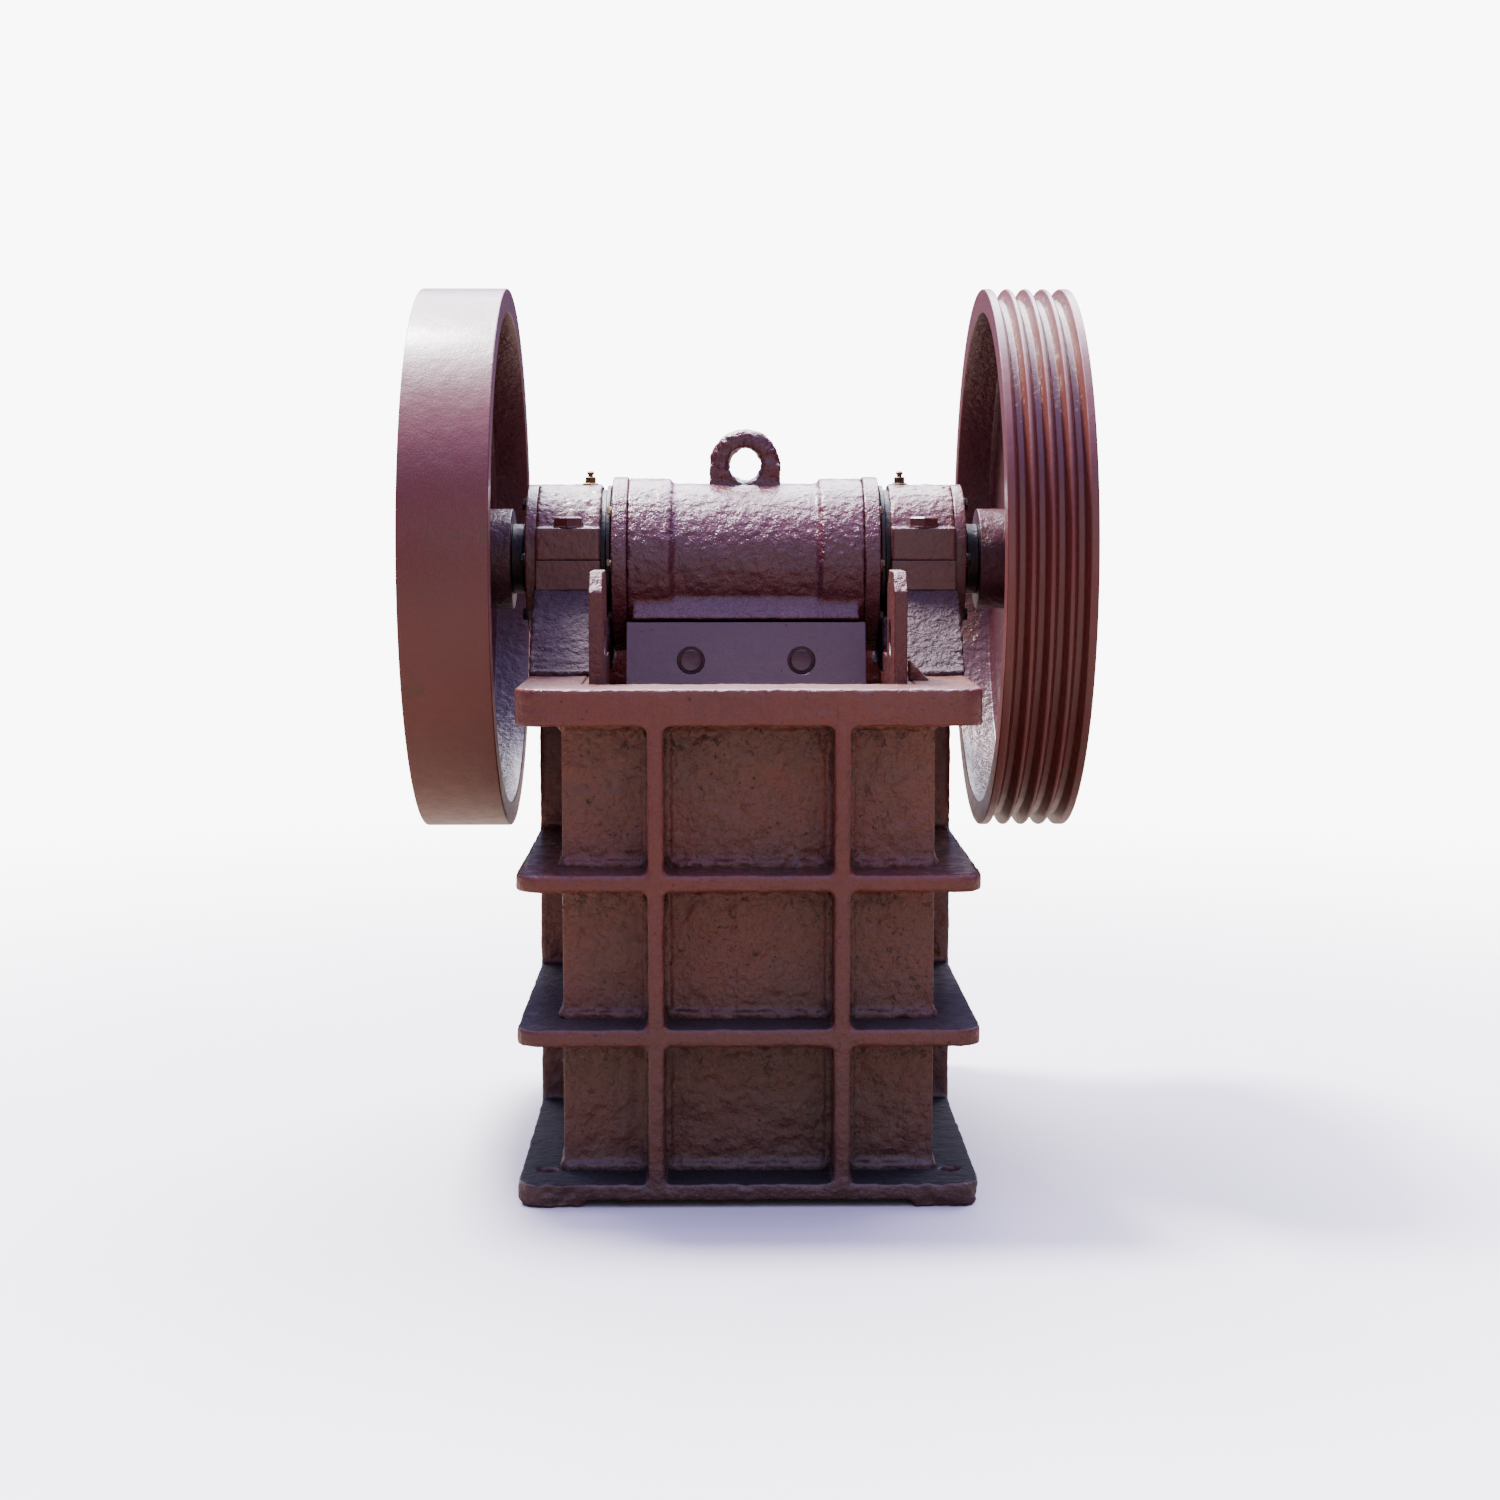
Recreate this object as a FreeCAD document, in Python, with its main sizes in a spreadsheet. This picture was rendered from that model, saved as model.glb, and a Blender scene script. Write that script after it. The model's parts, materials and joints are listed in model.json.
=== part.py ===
import FreeCAD, Part
import os
import re

import Sketcher

# Jaw crusher, single toggle, with a feed mouth of about 250 x 150 mm.
# The row frame: X to the right as seen from the feed side, +Y to the rear, +Z up.
# The origin is the centre of the foundation bolt pattern, on the floor.

DRIVING_DIMENSIONS = {
    # frame box and its bands
    "shelf_half_width": 232, "shelf_half_length": 338, "shelf_corner": 25,
    "wall_half_width": 187, "wall_half_length": 277,
    "side_thickness": 19, "end_thickness": 16,
    "foot_height": 6, "base_top": 23, "foot_width": 67, "foot_length": 87,
    "foot_setback": 2, "foot_chamfer": 10, "foundation_radius": 11,
    "foundation_half_x": 206, "foundation_half_y": 277,
    "lower_bottom": 162, "lower_top": 180, "upper_bottom": 317, "upper_top": 335,
    "flange_bottom": 482, "flange_top": 519,
    "rib_centre": 92.5, "rib_thickness": 16, "side_rib_thickness": 18,
    # shaft line
    "shaft_y": 42, "shaft_z": 639, "eccentricity": 6,
    "journal_radius": 42, "eccentric_radius": 52, "shaft_end_radius": 32,
    "eccentric_half_length": 150, "journal_end": 246, "shaft_half_length": 372,
    "running_clearance": 0.06, "seal_clearance": 0.3, "overrun": 5,
    # bearing housings on their pedestals
    "pedestal_inner": 161, "pedestal_half_foot": 176,
    "housing_inner": 159, "housing_outer": 229, "housing_half_length": 95,
    "housing_drop": 32, "seat_keel_half": 62, "seat_keel_depth": 24,
    "ear_height": 35.5, "dome_radius": 83, "cover_outer": 241.5,
    # wheels
    "wheel_radius": 299, "wheel_inner": 262, "wheel_outer": 355.5,
    "rim_thickness": 26, "web_inner": 306, "web_outer": 322,
    "hub_inner": 259.5, "hub_outer": 350, "hub_radius": 56,
    "rim_fillet": 4, "hub_fillet": 10,
    "sleeve_inner": 246.5, "sleeve_radius": 39,
    "groove_pitch": 20, "groove_top": 16, "groove_bottom": 7, "groove_depth": 13,
    # swing jaw
    "head_radius": 90, "ring_radius": 95.5, "ring_inner": 82, "ring_outer": 130,
    "cap_radius": 97.5, "cap_outer": 147, "jaw_half_width": 124,
    "lean_angle": 17, "face_y": -58, "face_top": 572, "casting_offset": 33.5,
    "clamp_half_width": 130, "clamp_bottom": 505,
    "clamp_bolt_x": 60, "clamp_bolt_z": 531, "counterbore_radius": 15,
    "counterbore_start": 20, "counterbore_reach": 32,
    "ledge_reach": 84, "ledge_drop": 41, "ledge_edge": 3,
    "slab_thickness": 34, "slab_lap": 60, "slab_lap_drop": 35,
    "jaw_bottom": 95, "web_thickness": 22, "web_lap": 4, "web_heel": 24,
    "web_top_half": 40, "web_top_drop": 55, "foot_shoulder": 15,
    "eye_radius": 39, "eye_hole_radius": 20, "eye_height": 105, "eye_thickness": 30,
    "eye_root": 60,
    # jaw plates
    "tooth_pitch": 25, "tooth_height": 12, "tooth_base": 18, "tooth_tip": 8, "tooth_root": 1,
    "fixed_half_width": 146, "fixed_face": -226, "fixed_back": -261,
    "fixed_bottom": 110, "fixed_top": 503, "moving_bottom": 100, "moving_back": 20,
    # cheek plates with lifting lugs
    "cheek_inner": 147.5, "cheek_lug_outer": 161, "cheek_front": -261, "cheek_bottom": 104,
    "lug_length": 110, "lug_top": 632, "lug_chamfer": 20, "low_lug_top": 541,
    "lug_hole_radius": 19, "lug_hole_back": 68, "lug_hole_z": 562, "lug_tail": 70,
    "cheek_rake": 60,
    # toggle, its seats and the tension rod
    "toggle_half_width": 110, "toggle_radius": 12.5, "toggle_front_y": -47.5,
    "toggle_front_z": 150, "toggle_rear_y": 178, "toggle_rear_z": 190, "toggle_web_half": 8,
    "seat_groove_radius": 30, "seat_face": -65, "seat_depth": 55,
    "seat_bottom": 110, "seat_top": 190, "block_half_width": 130,
    "block_front": 170, "block_bottom": 145, "block_top": 235, "block_groove_radius": 13,
    "rod_radius": 9, "rod_z": 62, "rod_end": 492, "eye_centre_y": -100,
    "rod_eye_outer": 27, "rod_eye_inner": 17.5, "rod_eye_half": 11, "rod_root": 3,
    "rod_clearance": 2, "pin_radius": 6,
    "lug_half_gap": 22, "lug_thickness": 12, "lug_reach": 18,
    "spring_outer": 30, "spring_inner": 20, "spring_start": 285, "spring_end": 425,
    "washer_radius": 36, "washer_thickness": 8,
}

doc = FreeCAD.newDocument("JawCrusher")
sheet = doc.addObject("Spreadsheet::Sheet", "Sheet")
for row, (alias, value) in enumerate(DRIVING_DIMENSIONS.items(), start=1):
    sheet.set(f"A{row}", alias)
    sheet.set(f"B{row}", str(value))
    sheet.setAlias(f"B{row}", alias)
doc.recompute()

FIXED_TEETH = 11
MOVING_TEETH = 10
BELT_GROOVES = 4
LEAST_CUT = 1  # cubic millimetres

ALIAS_PATTERN = re.compile(r"\b(" + "|".join(DRIVING_DIMENSIONS) + r")\b")
nodes = []


def bound(expression):
    """Write an expression on the sheet's aliases in the form that the document binds."""
    return ALIAS_PATTERN.sub(r"Sheet.\1", str(expression))


def amount(expression):
    """Work out an expression on the sheet's aliases."""
    result = sheet.evalExpression(bound(expression))
    return float(getattr(result, "Value", result))


def bind(item, **expressions):
    """Bind properties; a double underscore stands for the dot in a property's path."""
    for path, expression in expressions.items():
        item.setExpression(path.replace("__", "."), bound(expression))


def place(item, x="0", y="0", z="0"):
    bind(item, Placement__Base__x=x, Placement__Base__y=y, Placement__Base__z=z)


def node(item, label):
    """Name a finished sub-part; its label also names its file."""
    item.Label = label
    nodes.append(item)
    return item


# ---- primitives and booleans -------------------------------------------------------


def box(name, low, size):
    item = doc.addObject("Part::Box", name)
    place(item, *low)
    bind(item, Length=size[0], Width=size[1], Height=size[2])
    return item


def rod_along(name, axis, start, radius, length):
    """A cylinder that starts at a point and runs along +X or +Y."""
    item = doc.addObject("Part::Cylinder", name)
    turn = FreeCAD.Rotation(FreeCAD.Vector(0, 0, 1), FreeCAD.Vector(*axis))
    item.Placement = FreeCAD.Placement(FreeCAD.Vector(), turn)
    place(item, *start)
    bind(item, Radius=radius, Height=length)
    return item


def along_x(name, start, radius, length):
    return rod_along(name, (1, 0, 0), start, radius, length)


def along_y(name, start, radius, length):
    return rod_along(name, (0, 1, 0), start, radius, length)


def fuse(name, items):
    item = doc.addObject("Part::MultiFuse", name)
    item.Shapes = items
    return item


def cut(name, base, tool):
    item = doc.addObject("Part::Cut", name)
    item.Base = base
    item.Tool = tool
    return item


def group(name, items):
    """Like pieces that don't touch each other, kept together as one sub-part."""
    item = doc.addObject("Part::Compound", name)
    item.Links = items
    return item


# ---- sketched bodies -----------------------------------------------------------------


def new_body(name):
    return doc.addObject("PartDesign::Body", name)


def origin_plane(body, role):
    return next(item for item in body.Origin.OriginFeatures if item.Role == role)


def sketch_on(body, name, role, offset="0"):
    sketch = body.newObject("Sketcher::SketchObject", name)
    sketch.AttachmentSupport = [(origin_plane(body, role), "")]
    sketch.MapMode = "FlatFace"
    bind(sketch, AttachmentOffset__Base__z=offset)
    return sketch


def hold(sketch, constraint, expression):
    """Add one dimension to a sketch and bind it to the sheet."""
    number = sketch.addConstraint(constraint)
    sketch.setExpression(f"Constraints[{number}]", bound(expression))


def polygon(sketch, points):
    """A closed outline whose every corner is placed by bound dimensions."""
    corners = [FreeCAD.Vector(amount(u), amount(v), 0) for u, v in points]
    first = sketch.GeometryCount
    count = len(corners)
    for index, corner in enumerate(corners):
        following = corners[(index + 1) % count]
        sketch.addGeometry(Part.LineSegment(corner, following), False)
    for index in range(count):
        following = first + (index + 1) % count
        sketch.addConstraint(Sketcher.Constraint("Coincident", first + index, 2, following, 1))
    for index, (u, v) in enumerate(points):
        corner = corners[index]
        edge = first + index
        hold(sketch, Sketcher.Constraint("DistanceX", edge, 1, corner.x), u)
        hold(sketch, Sketcher.Constraint("DistanceY", edge, 1, corner.y), v)


def circle(sketch, centre, radius):
    """A circle whose centre and radius are bound dimensions."""
    u, v = centre
    middle = FreeCAD.Vector(amount(u), amount(v), 0)
    edge = sketch.addGeometry(Part.Circle(middle, FreeCAD.Vector(0, 0, 1), amount(radius)), False)
    hold(sketch, Sketcher.Constraint("Radius", edge, amount(radius)), radius)
    hold(sketch, Sketcher.Constraint("DistanceX", edge, 3, middle.x), u)
    hold(sketch, Sketcher.Constraint("DistanceY", edge, 3, middle.y), v)


def rectangle_points(low_u, low_v, high_u, high_v):
    return [(low_u, low_v), (high_u, low_v), (high_u, high_v), (low_u, high_v)]


def pad(body, name, sketch, length):
    feature = body.newObject("PartDesign::Pad", name)
    feature.Profile = sketch
    bind(feature, Length=length)
    sketch.Visibility = False
    return feature


def pocket_through(body, name, sketch):
    """Cut a sketch through everything on both sides of its plane."""
    before = body.Shape.Volume
    feature = body.newObject("PartDesign::Pocket", name)
    feature.Profile = sketch
    feature.Type = "ThroughAll"
    doc.recompute()
    if body.Shape.Volume > before - LEAST_CUT:
        feature.Reversed = True
        doc.recompute()
    if body.Shape.Volume > before - LEAST_CUT:
        raise RuntimeError(f"{name} cuts nothing")
    return feature


def extruded(name, role, offset, points, length):
    """A body of one outline, padded along its plane's normal from an offset."""
    body = new_body(name)
    sketch = sketch_on(body, name + "Outline", role, offset)
    polygon(sketch, points)
    pad(body, name + "Pad", sketch, length)
    return body


def turned(name, points):
    """A body of revolution about its own X axis, from an outline of (x, radius)."""
    body = new_body(name)
    sketch = sketch_on(body, name + "Outline", "XY_Plane")
    polygon(sketch, points)
    feature = body.newObject("PartDesign::Revolution", name + "Turn")
    feature.Profile = sketch
    feature.ReferenceAxis = (sketch, ["H_Axis"])
    feature.Angle = 360
    return body


def vertical_corners(shape):
    """Names of a shape's straight vertical edges."""
    found = []
    for index, edge in enumerate(shape.Edges, start=1):
        ends = [vertex.Point for vertex in edge.Vertexes]
        if len(ends) == 2 and (ends[0] - ends[1]).cross(FreeCAD.Vector(0, 0, 1)).Length < 1e-6:
            found.append(f"Edge{index}")
    return found


# ---- the cast frame --------------------------------------------------------------------


def band(label, bottom, top, hole_half_x, hole_half_y):
    """A flat band round the frame box: a plate with rounded corners and a window."""
    body = new_body(label)
    outline = sketch_on(body, label + "_outline", "XY_Plane", bottom)
    polygon(outline, rectangle_points("-shelf_half_width", "-shelf_half_length",
                                      "shelf_half_width", "shelf_half_length"))
    plate = pad(body, label + "_plate", outline, f"{top} - {bottom}")
    doc.recompute()
    rounding = body.newObject("PartDesign::Fillet", label + "_rounding")
    rounding.Base = (plate, vertical_corners(plate.Shape))
    bind(rounding, Radius="shelf_corner")
    doc.recompute()
    window = sketch_on(body, label + "_window", "XY_Plane", top)
    polygon(window, rectangle_points(f"-({hole_half_x})", f"-({hole_half_y})",
                                     hole_half_x, hole_half_y))
    pocket_through(body, label + "_opening", window)
    return body


def base_flange():
    """The base band, with a pad under each corner and the foundation bolt holes."""
    body = band("base_flange", "foot_height", "base_top", "wall_half_width", "wall_half_length")
    feet = sketch_on(body, "base_feet", "XY_Plane", "0")
    for sign_x in ("-1", "1"):
        for sign_y in ("-1", "1"):
            near_x = f"{sign_x} * (shelf_half_width - foot_width)"
            near_y = f"{sign_y} * (shelf_half_length - foot_length)"
            far_x = f"{sign_x} * (shelf_half_width - foot_setback)"
            far_y = f"{sign_y} * (shelf_half_length - foot_setback)"
            cut_x = f"{sign_x} * (shelf_half_width - foot_setback - foot_chamfer)"
            cut_y = f"{sign_y} * (shelf_half_length - foot_setback - foot_chamfer)"
            polygon(feet, [(near_x, near_y), (far_x, near_y), (far_x, cut_y),
                           (cut_x, far_y), (near_x, far_y)])
    pad(body, "base_feet_pad", feet, "foot_height")
    doc.recompute()
    holes = sketch_on(body, "base_holes", "XY_Plane", "base_top")
    for sign_x in ("-1", "1"):
        for sign_y in ("-1", "1"):
            centre = (f"{sign_x} * foundation_half_x", f"{sign_y} * foundation_half_y")
            circle(holes, centre, "foundation_radius")
    pocket_through(body, "base_bolt_holes", holes)
    return body


def end_wall(label, low_y):
    wall_height = "flange_bottom - base_top"
    inner_half = "wall_half_width - side_thickness"
    return box(label, (f"-({inner_half})", low_y, "base_top"),
               (f"2 * ({inner_half})", "end_thickness", wall_height))


def rear_wall():
    """The end wall behind the toggle, bored for the tension rod."""
    plate = end_wall("rear_plate", "wall_half_length - end_thickness")
    bore = along_y("rear_bore", ("0", "wall_half_length - 2 * end_thickness", "rod_z"),
                   "rod_radius + rod_clearance", "3 * end_thickness")
    return cut("rear_wall", plate, bore)


BAYS = [("base_top", "lower_bottom"), ("lower_top", "upper_bottom"),
        ("upper_top", "flange_bottom")]


def end_ribs(label, low_y):
    """Two upright ribs on an end wall, broken by the bands into three bays each."""
    pieces = []
    for column, sign in enumerate(("-1", "1")):
        low_x = f"{sign} * rib_centre - rib_thickness / 2"
        for bay, (bottom, top) in enumerate(BAYS):
            pieces.append(box(f"{label}_{column}_{bay}", (low_x, low_y, bottom),
                              ("rib_thickness", "shelf_half_length - wall_half_length",
                               f"{top} - {bottom}")))
    return group(label, pieces)


def side_ribs(label, low_x):
    """One upright rib under the shaft on a side wall, in three bays."""
    pieces = []
    for bay, (bottom, top) in enumerate(BAYS):
        pieces.append(box(f"{label}_{bay}", (low_x, "shaft_y - side_rib_thickness / 2", bottom),
                          ("shelf_half_width - wall_half_width", "side_rib_thickness",
                           f"{top} - {bottom}")))
    return group(label, pieces)


def low_x(side, inner, outer):
    """The lower X of a piece that spans inner to outer on the left or the right."""
    return f"-({outer})" if side == "left" else inner


def pedestal(side):
    """The sloping cast seat between the top flange and a bearing housing."""
    foot = "pedestal_half_foot"
    shoulder = "housing_half_length"
    top = "shaft_z - housing_drop"
    points = [(f"shaft_y - {foot}", "flange_top"), (f"shaft_y + {foot}", "flange_top"),
              (f"shaft_y + {shoulder}", top), ("shaft_y + seat_keel_half", top),
              ("shaft_y + seat_keel_half", f"{top} - seat_keel_depth"),
              ("shaft_y - seat_keel_half", f"{top} - seat_keel_depth"),
              ("shaft_y - seat_keel_half", top), (f"shaft_y - {shoulder}", top)]
    name = f"bearing_pedestal_{side}"
    return extruded(name, "YZ_Plane", low_x(side, "pedestal_inner", "housing_outer"),
                    points, "housing_outer - pedestal_inner")


def housing_block(name, side, bottom, height):
    low = (low_x(side, "housing_inner", "housing_outer"), "shaft_y - housing_half_length", bottom)
    return box(name, low, ("housing_outer - housing_inner", "2 * housing_half_length", height))


def journal_bore(name, side):
    start = (low_x(side, "housing_inner - overrun", "housing_outer + overrun"),
             "shaft_y", "shaft_z")
    return along_x(name, start, "journal_radius + running_clearance",
                   "housing_outer - housing_inner + 2 * overrun")


def bearing_seat(side):
    """The lower half of a bearing housing, let into the pedestal by its keel."""
    low = "shaft_z - housing_drop"
    points = [("shaft_y - housing_half_length", low), ("shaft_y - seat_keel_half", low),
              ("shaft_y - seat_keel_half", f"{low} - seat_keel_depth"),
              ("shaft_y + seat_keel_half", f"{low} - seat_keel_depth"),
              ("shaft_y + seat_keel_half", low), ("shaft_y + housing_half_length", low),
              ("shaft_y + housing_half_length", "shaft_z"),
              ("shaft_y - housing_half_length", "shaft_z")]
    block = extruded(f"seat_block_{side}", "YZ_Plane",
                     low_x(side, "housing_inner", "housing_outer"), points,
                     "housing_outer - housing_inner")
    return cut(f"bearing_seat_{side}", block, journal_bore(f"seat_bore_{side}", side))


def bearing_cap(side):
    """The upper half: two bolting ears and a round back over the bearing."""
    ears = housing_block(f"cap_ears_{side}", side, "shaft_z", "ear_height")
    start = (low_x(side, "housing_inner", "housing_outer"), "shaft_y", "shaft_z")
    back = along_x(f"cap_back_{side}", start, "dome_radius", "housing_outer - housing_inner")
    back.Angle = 180
    back.Placement.Rotation = FreeCAD.Rotation(
        FreeCAD.Vector(0, 1, 0), FreeCAD.Vector(0, 0, 1), FreeCAD.Vector(1, 0, 0), "ZXY")
    body = fuse(f"cap_body_{side}", [ears, back])
    return cut(f"bearing_cap_{side}", body, journal_bore(f"cap_bore_{side}", side))


def disc_cover(name, side, inner, outer, radius, bore_radius, axis_z):
    start = (low_x(side, inner, outer), "shaft_y", axis_z)
    disc = along_x(name + "_disc", start, radius, f"{outer} - ({inner})")
    bore_start = (low_x(side, f"{inner} - overrun", f"{outer} + overrun"), "shaft_y", axis_z)
    bore = along_x(name + "_bore", bore_start, bore_radius,
                   f"{outer} - ({inner}) + 2 * overrun")
    return cut(name, disc, bore)


def cheek_plate(side):
    """A side liner of the crushing chamber, with a lifting lug above the flange."""
    name = f"cheek_plate_{side}"
    body = new_body(name)
    back = "cheek_front + lug_length"
    lug = [("cheek_front", "cheek_bottom"), ("cheek_front", "lug_top - lug_chamfer"),
           ("cheek_front + lug_chamfer", "lug_top"), (f"{back} - lug_chamfer", "lug_top"),
           (back, "lug_top - lug_chamfer"), (back, "low_lug_top"),
           (f"{back} + lug_tail", "low_lug_top"), (f"{back} + lug_tail", "flange_top"),
           (f"{back} - cheek_rake", "cheek_bottom")]
    thickness = "cheek_lug_outer - cheek_inner"
    plate = sketch_on(body, name + "_plate", "YZ_Plane",
                      low_x(side, "cheek_inner", "cheek_lug_outer"))
    polygon(plate, lug)
    pad(body, name + "_pad", plate, thickness)
    backing = sketch_on(body, name + "_backing", "YZ_Plane",
                        low_x(side, "cheek_lug_outer", "wall_half_width - side_thickness"))
    polygon(backing, [("cheek_front", "cheek_bottom"), ("cheek_front", "flange_top"),
                      (f"{back} + lug_tail", "flange_top"), (f"{back} - cheek_rake", "cheek_bottom")])
    pad(body, name + "_backing_pad", backing,
        "wall_half_width - side_thickness - cheek_lug_outer")
    doc.recompute()
    hole = sketch_on(body, name + "_hole", "YZ_Plane", "0")
    circle(hole, ("cheek_front + lug_hole_back", "lug_hole_z"), "lug_hole_radius")
    pocket_through(body, name + "_bore", hole)
    return body


# ---- jaw plates ------------------------------------------------------------------------

JAW_AXIS_Z = "(shaft_z - eccentricity)"
EYE_CENTRE_Z = "(shaft_z + eye_height)"
CLAMP_SEAT = "(clamp_bottom - casting_offset * sin(lean_angle) * cos(lean_angle))"


def face_at(height, offset="0"):
    """Y of the jaw's leaning working face, or of a plane behind it, at a height."""
    return f"(face_y + ({offset}) - (face_top - ({height})) * tan(lean_angle))"


def toothed_plate(label, half_width, back, length, teeth):
    """A plate that stands on the XY plane, its teeth along Z and pointing to +Y."""
    first_tooth = f"-{(teeth - 1) / 2} * tooth_pitch"
    body = new_body(label)
    plate = sketch_on(body, label + "_plate", "XY_Plane")
    polygon(plate, rectangle_points(f"-({half_width})", f"-({back})", half_width, "0"))
    pad(body, label + "_back", plate, length)
    tooth = sketch_on(body, label + "_tooth", "XY_Plane")
    polygon(tooth, [(f"{first_tooth} - tooth_base / 2", "-tooth_root"),
                    (f"{first_tooth} + tooth_base / 2", "-tooth_root"),
                    (f"{first_tooth} + tooth_tip / 2", "tooth_height"),
                    (f"{first_tooth} - tooth_tip / 2", "tooth_height")])
    ridge = pad(body, label + "_ridge", tooth, length)
    doc.recompute()
    pattern = body.newObject("PartDesign::LinearPattern", label + "_ridges")
    pattern.Originals = [ridge]
    pattern.Direction = (tooth, ["H_Axis"])
    pattern.Occurrences = teeth
    bind(pattern, Length=f"{teeth - 1} * tooth_pitch")
    body.Tip = pattern
    doc.recompute()
    return body


def fixed_jaw_plate():
    """The wearing plate on the front wall, teeth towards the swing jaw."""
    body = toothed_plate("fixed_jaw_plate", "fixed_half_width",
                         "fixed_face - fixed_back - tooth_height",
                         "fixed_top - fixed_bottom", FIXED_TEETH)
    place(body, "0", "fixed_face - tooth_height", "fixed_bottom")
    return body


def moving_jaw_plate():
    """The wearing plate on the leaning face of the swing jaw."""
    length = f"({CLAMP_SEAT} - moving_bottom) / cos(lean_angle)"
    body = toothed_plate("moving_jaw_plate", "jaw_half_width", "moving_back", length,
                         MOVING_TEETH)
    lean = FreeCAD.Rotation(FreeCAD.Vector(1, 0, 0), -amount("lean_angle"))
    about = FreeCAD.Rotation(FreeCAD.Vector(0, 0, 1), 180)
    body.Placement = FreeCAD.Placement(FreeCAD.Vector(), lean * about)
    foot_y = face_at("moving_bottom", "casting_offset")
    place(body, "0", f"{foot_y} - moving_back * cos(lean_angle)",
          "moving_bottom + moving_back * sin(lean_angle)")
    return body


# ---- swing jaw -------------------------------------------------------------------------


def jaw_head():
    """The bearing barrel of the swing jaw with its two thicker end rings."""
    barrel = along_x("jaw_barrel", ("-ring_inner", "shaft_y", JAW_AXIS_Z),
                     "head_radius", "2 * ring_inner")
    rings = [along_x(f"jaw_ring_{side}", (low_x(side, "ring_inner", "ring_outer"),
                                          "shaft_y", JAW_AXIS_Z),
                     "ring_radius", "ring_outer - ring_inner") for side in ("left", "right")]
    return [barrel] + rings


def jaw_slab():
    """The leaning slab that backs the wearing plate, with the ledge over the clamp."""
    slab_back = "casting_offset + slab_thickness"
    points = [(face_at("jaw_bottom", "casting_offset"), "jaw_bottom"),
              (face_at("jaw_bottom", slab_back), "jaw_bottom"),
              (face_at("shaft_z - slab_lap", slab_back), "shaft_z - slab_lap"),
              ("shaft_y - slab_lap", "shaft_z - slab_lap_drop"),
              ("shaft_y - ledge_reach", "shaft_z - ledge_drop"),
              ("face_y", "face_top + ledge_edge"),
              (face_at("face_top", "casting_offset"), "face_top")]
    return extruded("jaw_slab", "YZ_Plane", "-jaw_half_width", points, "2 * jaw_half_width")


def jaw_webs():
    """Three upright webs behind the slab, from the barrel down to the toggle seat."""
    webs = []
    slab_front = "casting_offset + web_lap"
    points = [(face_at("jaw_bottom", slab_front), "jaw_bottom"),
              ("seat_face - seat_depth", "jaw_bottom"), ("seat_face - seat_depth", "seat_top"),
              ("seat_face - web_heel", "seat_top + foot_shoulder"),
              ("shaft_y + web_top_half", "shaft_z - web_top_drop"),
              ("shaft_y - web_top_half", "shaft_z - web_top_drop")]
    for index, left_edge in enumerate(("-jaw_half_width", "-web_thickness / 2",
                                       "jaw_half_width - web_thickness")):
        webs.append(extruded(f"jaw_web_{index}", "YZ_Plane", left_edge, points, "web_thickness"))
    return webs


def seat_block(name):
    """The block that the jaw's foot is pocketed for, behind the slab."""
    return extruded(name, "YZ_Plane", "-toggle_half_width",
                    rectangle_points("seat_face - seat_depth", "seat_bottom",
                                     "seat_face", "seat_top"), "2 * toggle_half_width")


def swing_jaw():
    """The jaw casting: barrel, rings, slab, webs and foot, bored and pocketed."""
    inside_slab = "casting_offset + 2 * web_lap"
    shoulder = "seat_top + foot_shoulder"
    foot = extruded("jaw_foot", "YZ_Plane", "-jaw_half_width",
                    [(face_at("jaw_bottom", inside_slab), "jaw_bottom"),
                     ("seat_face - seat_depth", "jaw_bottom"),
                     ("seat_face - seat_depth", shoulder),
                     (face_at(shoulder, inside_slab), shoulder)],
                    "2 * jaw_half_width")
    solid = fuse("jaw_solid", jaw_head() + [jaw_slab(), foot] + jaw_webs())
    bore = along_x("jaw_bore", ("-ring_outer - overrun", "shaft_y", JAW_AXIS_Z),
                   "eccentric_radius + running_clearance", "2 * (ring_outer + overrun)")
    return cut("swing_jaw", solid, fuse("jaw_tools", [bore, seat_block("jaw_seat_pocket")]))


def jaw_clamp():
    """The smooth plate that wedges the wearing plate down, with counterbored bolts."""
    plate = extruded("clamp_plate", "YZ_Plane", "-clamp_half_width",
                     [("face_y", "face_top"),
                      (face_at("clamp_bottom"), "clamp_bottom"),
                      (face_at(CLAMP_SEAT, "casting_offset"), CLAMP_SEAT),
                      (face_at("face_top", "casting_offset"), "face_top")],
                     "2 * clamp_half_width")
    tools = []
    for index, sign in enumerate(("-1", "1")):
        centre = (f"{sign} * clamp_bolt_x", face_at("clamp_bolt_z", "-counterbore_start"),
                  "clamp_bolt_z")
        tools.append(along_y(f"clamp_bore_{index}", centre, "counterbore_radius",
                             "counterbore_reach"))
    tools.append(along_x("clamp_relief", ("-clamp_half_width - overrun", "shaft_y", JAW_AXIS_Z),
                         "ring_radius", "2 * (clamp_half_width + overrun)"))
    return cut("jaw_clamp", plate, fuse("clamp_bores", tools))


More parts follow.
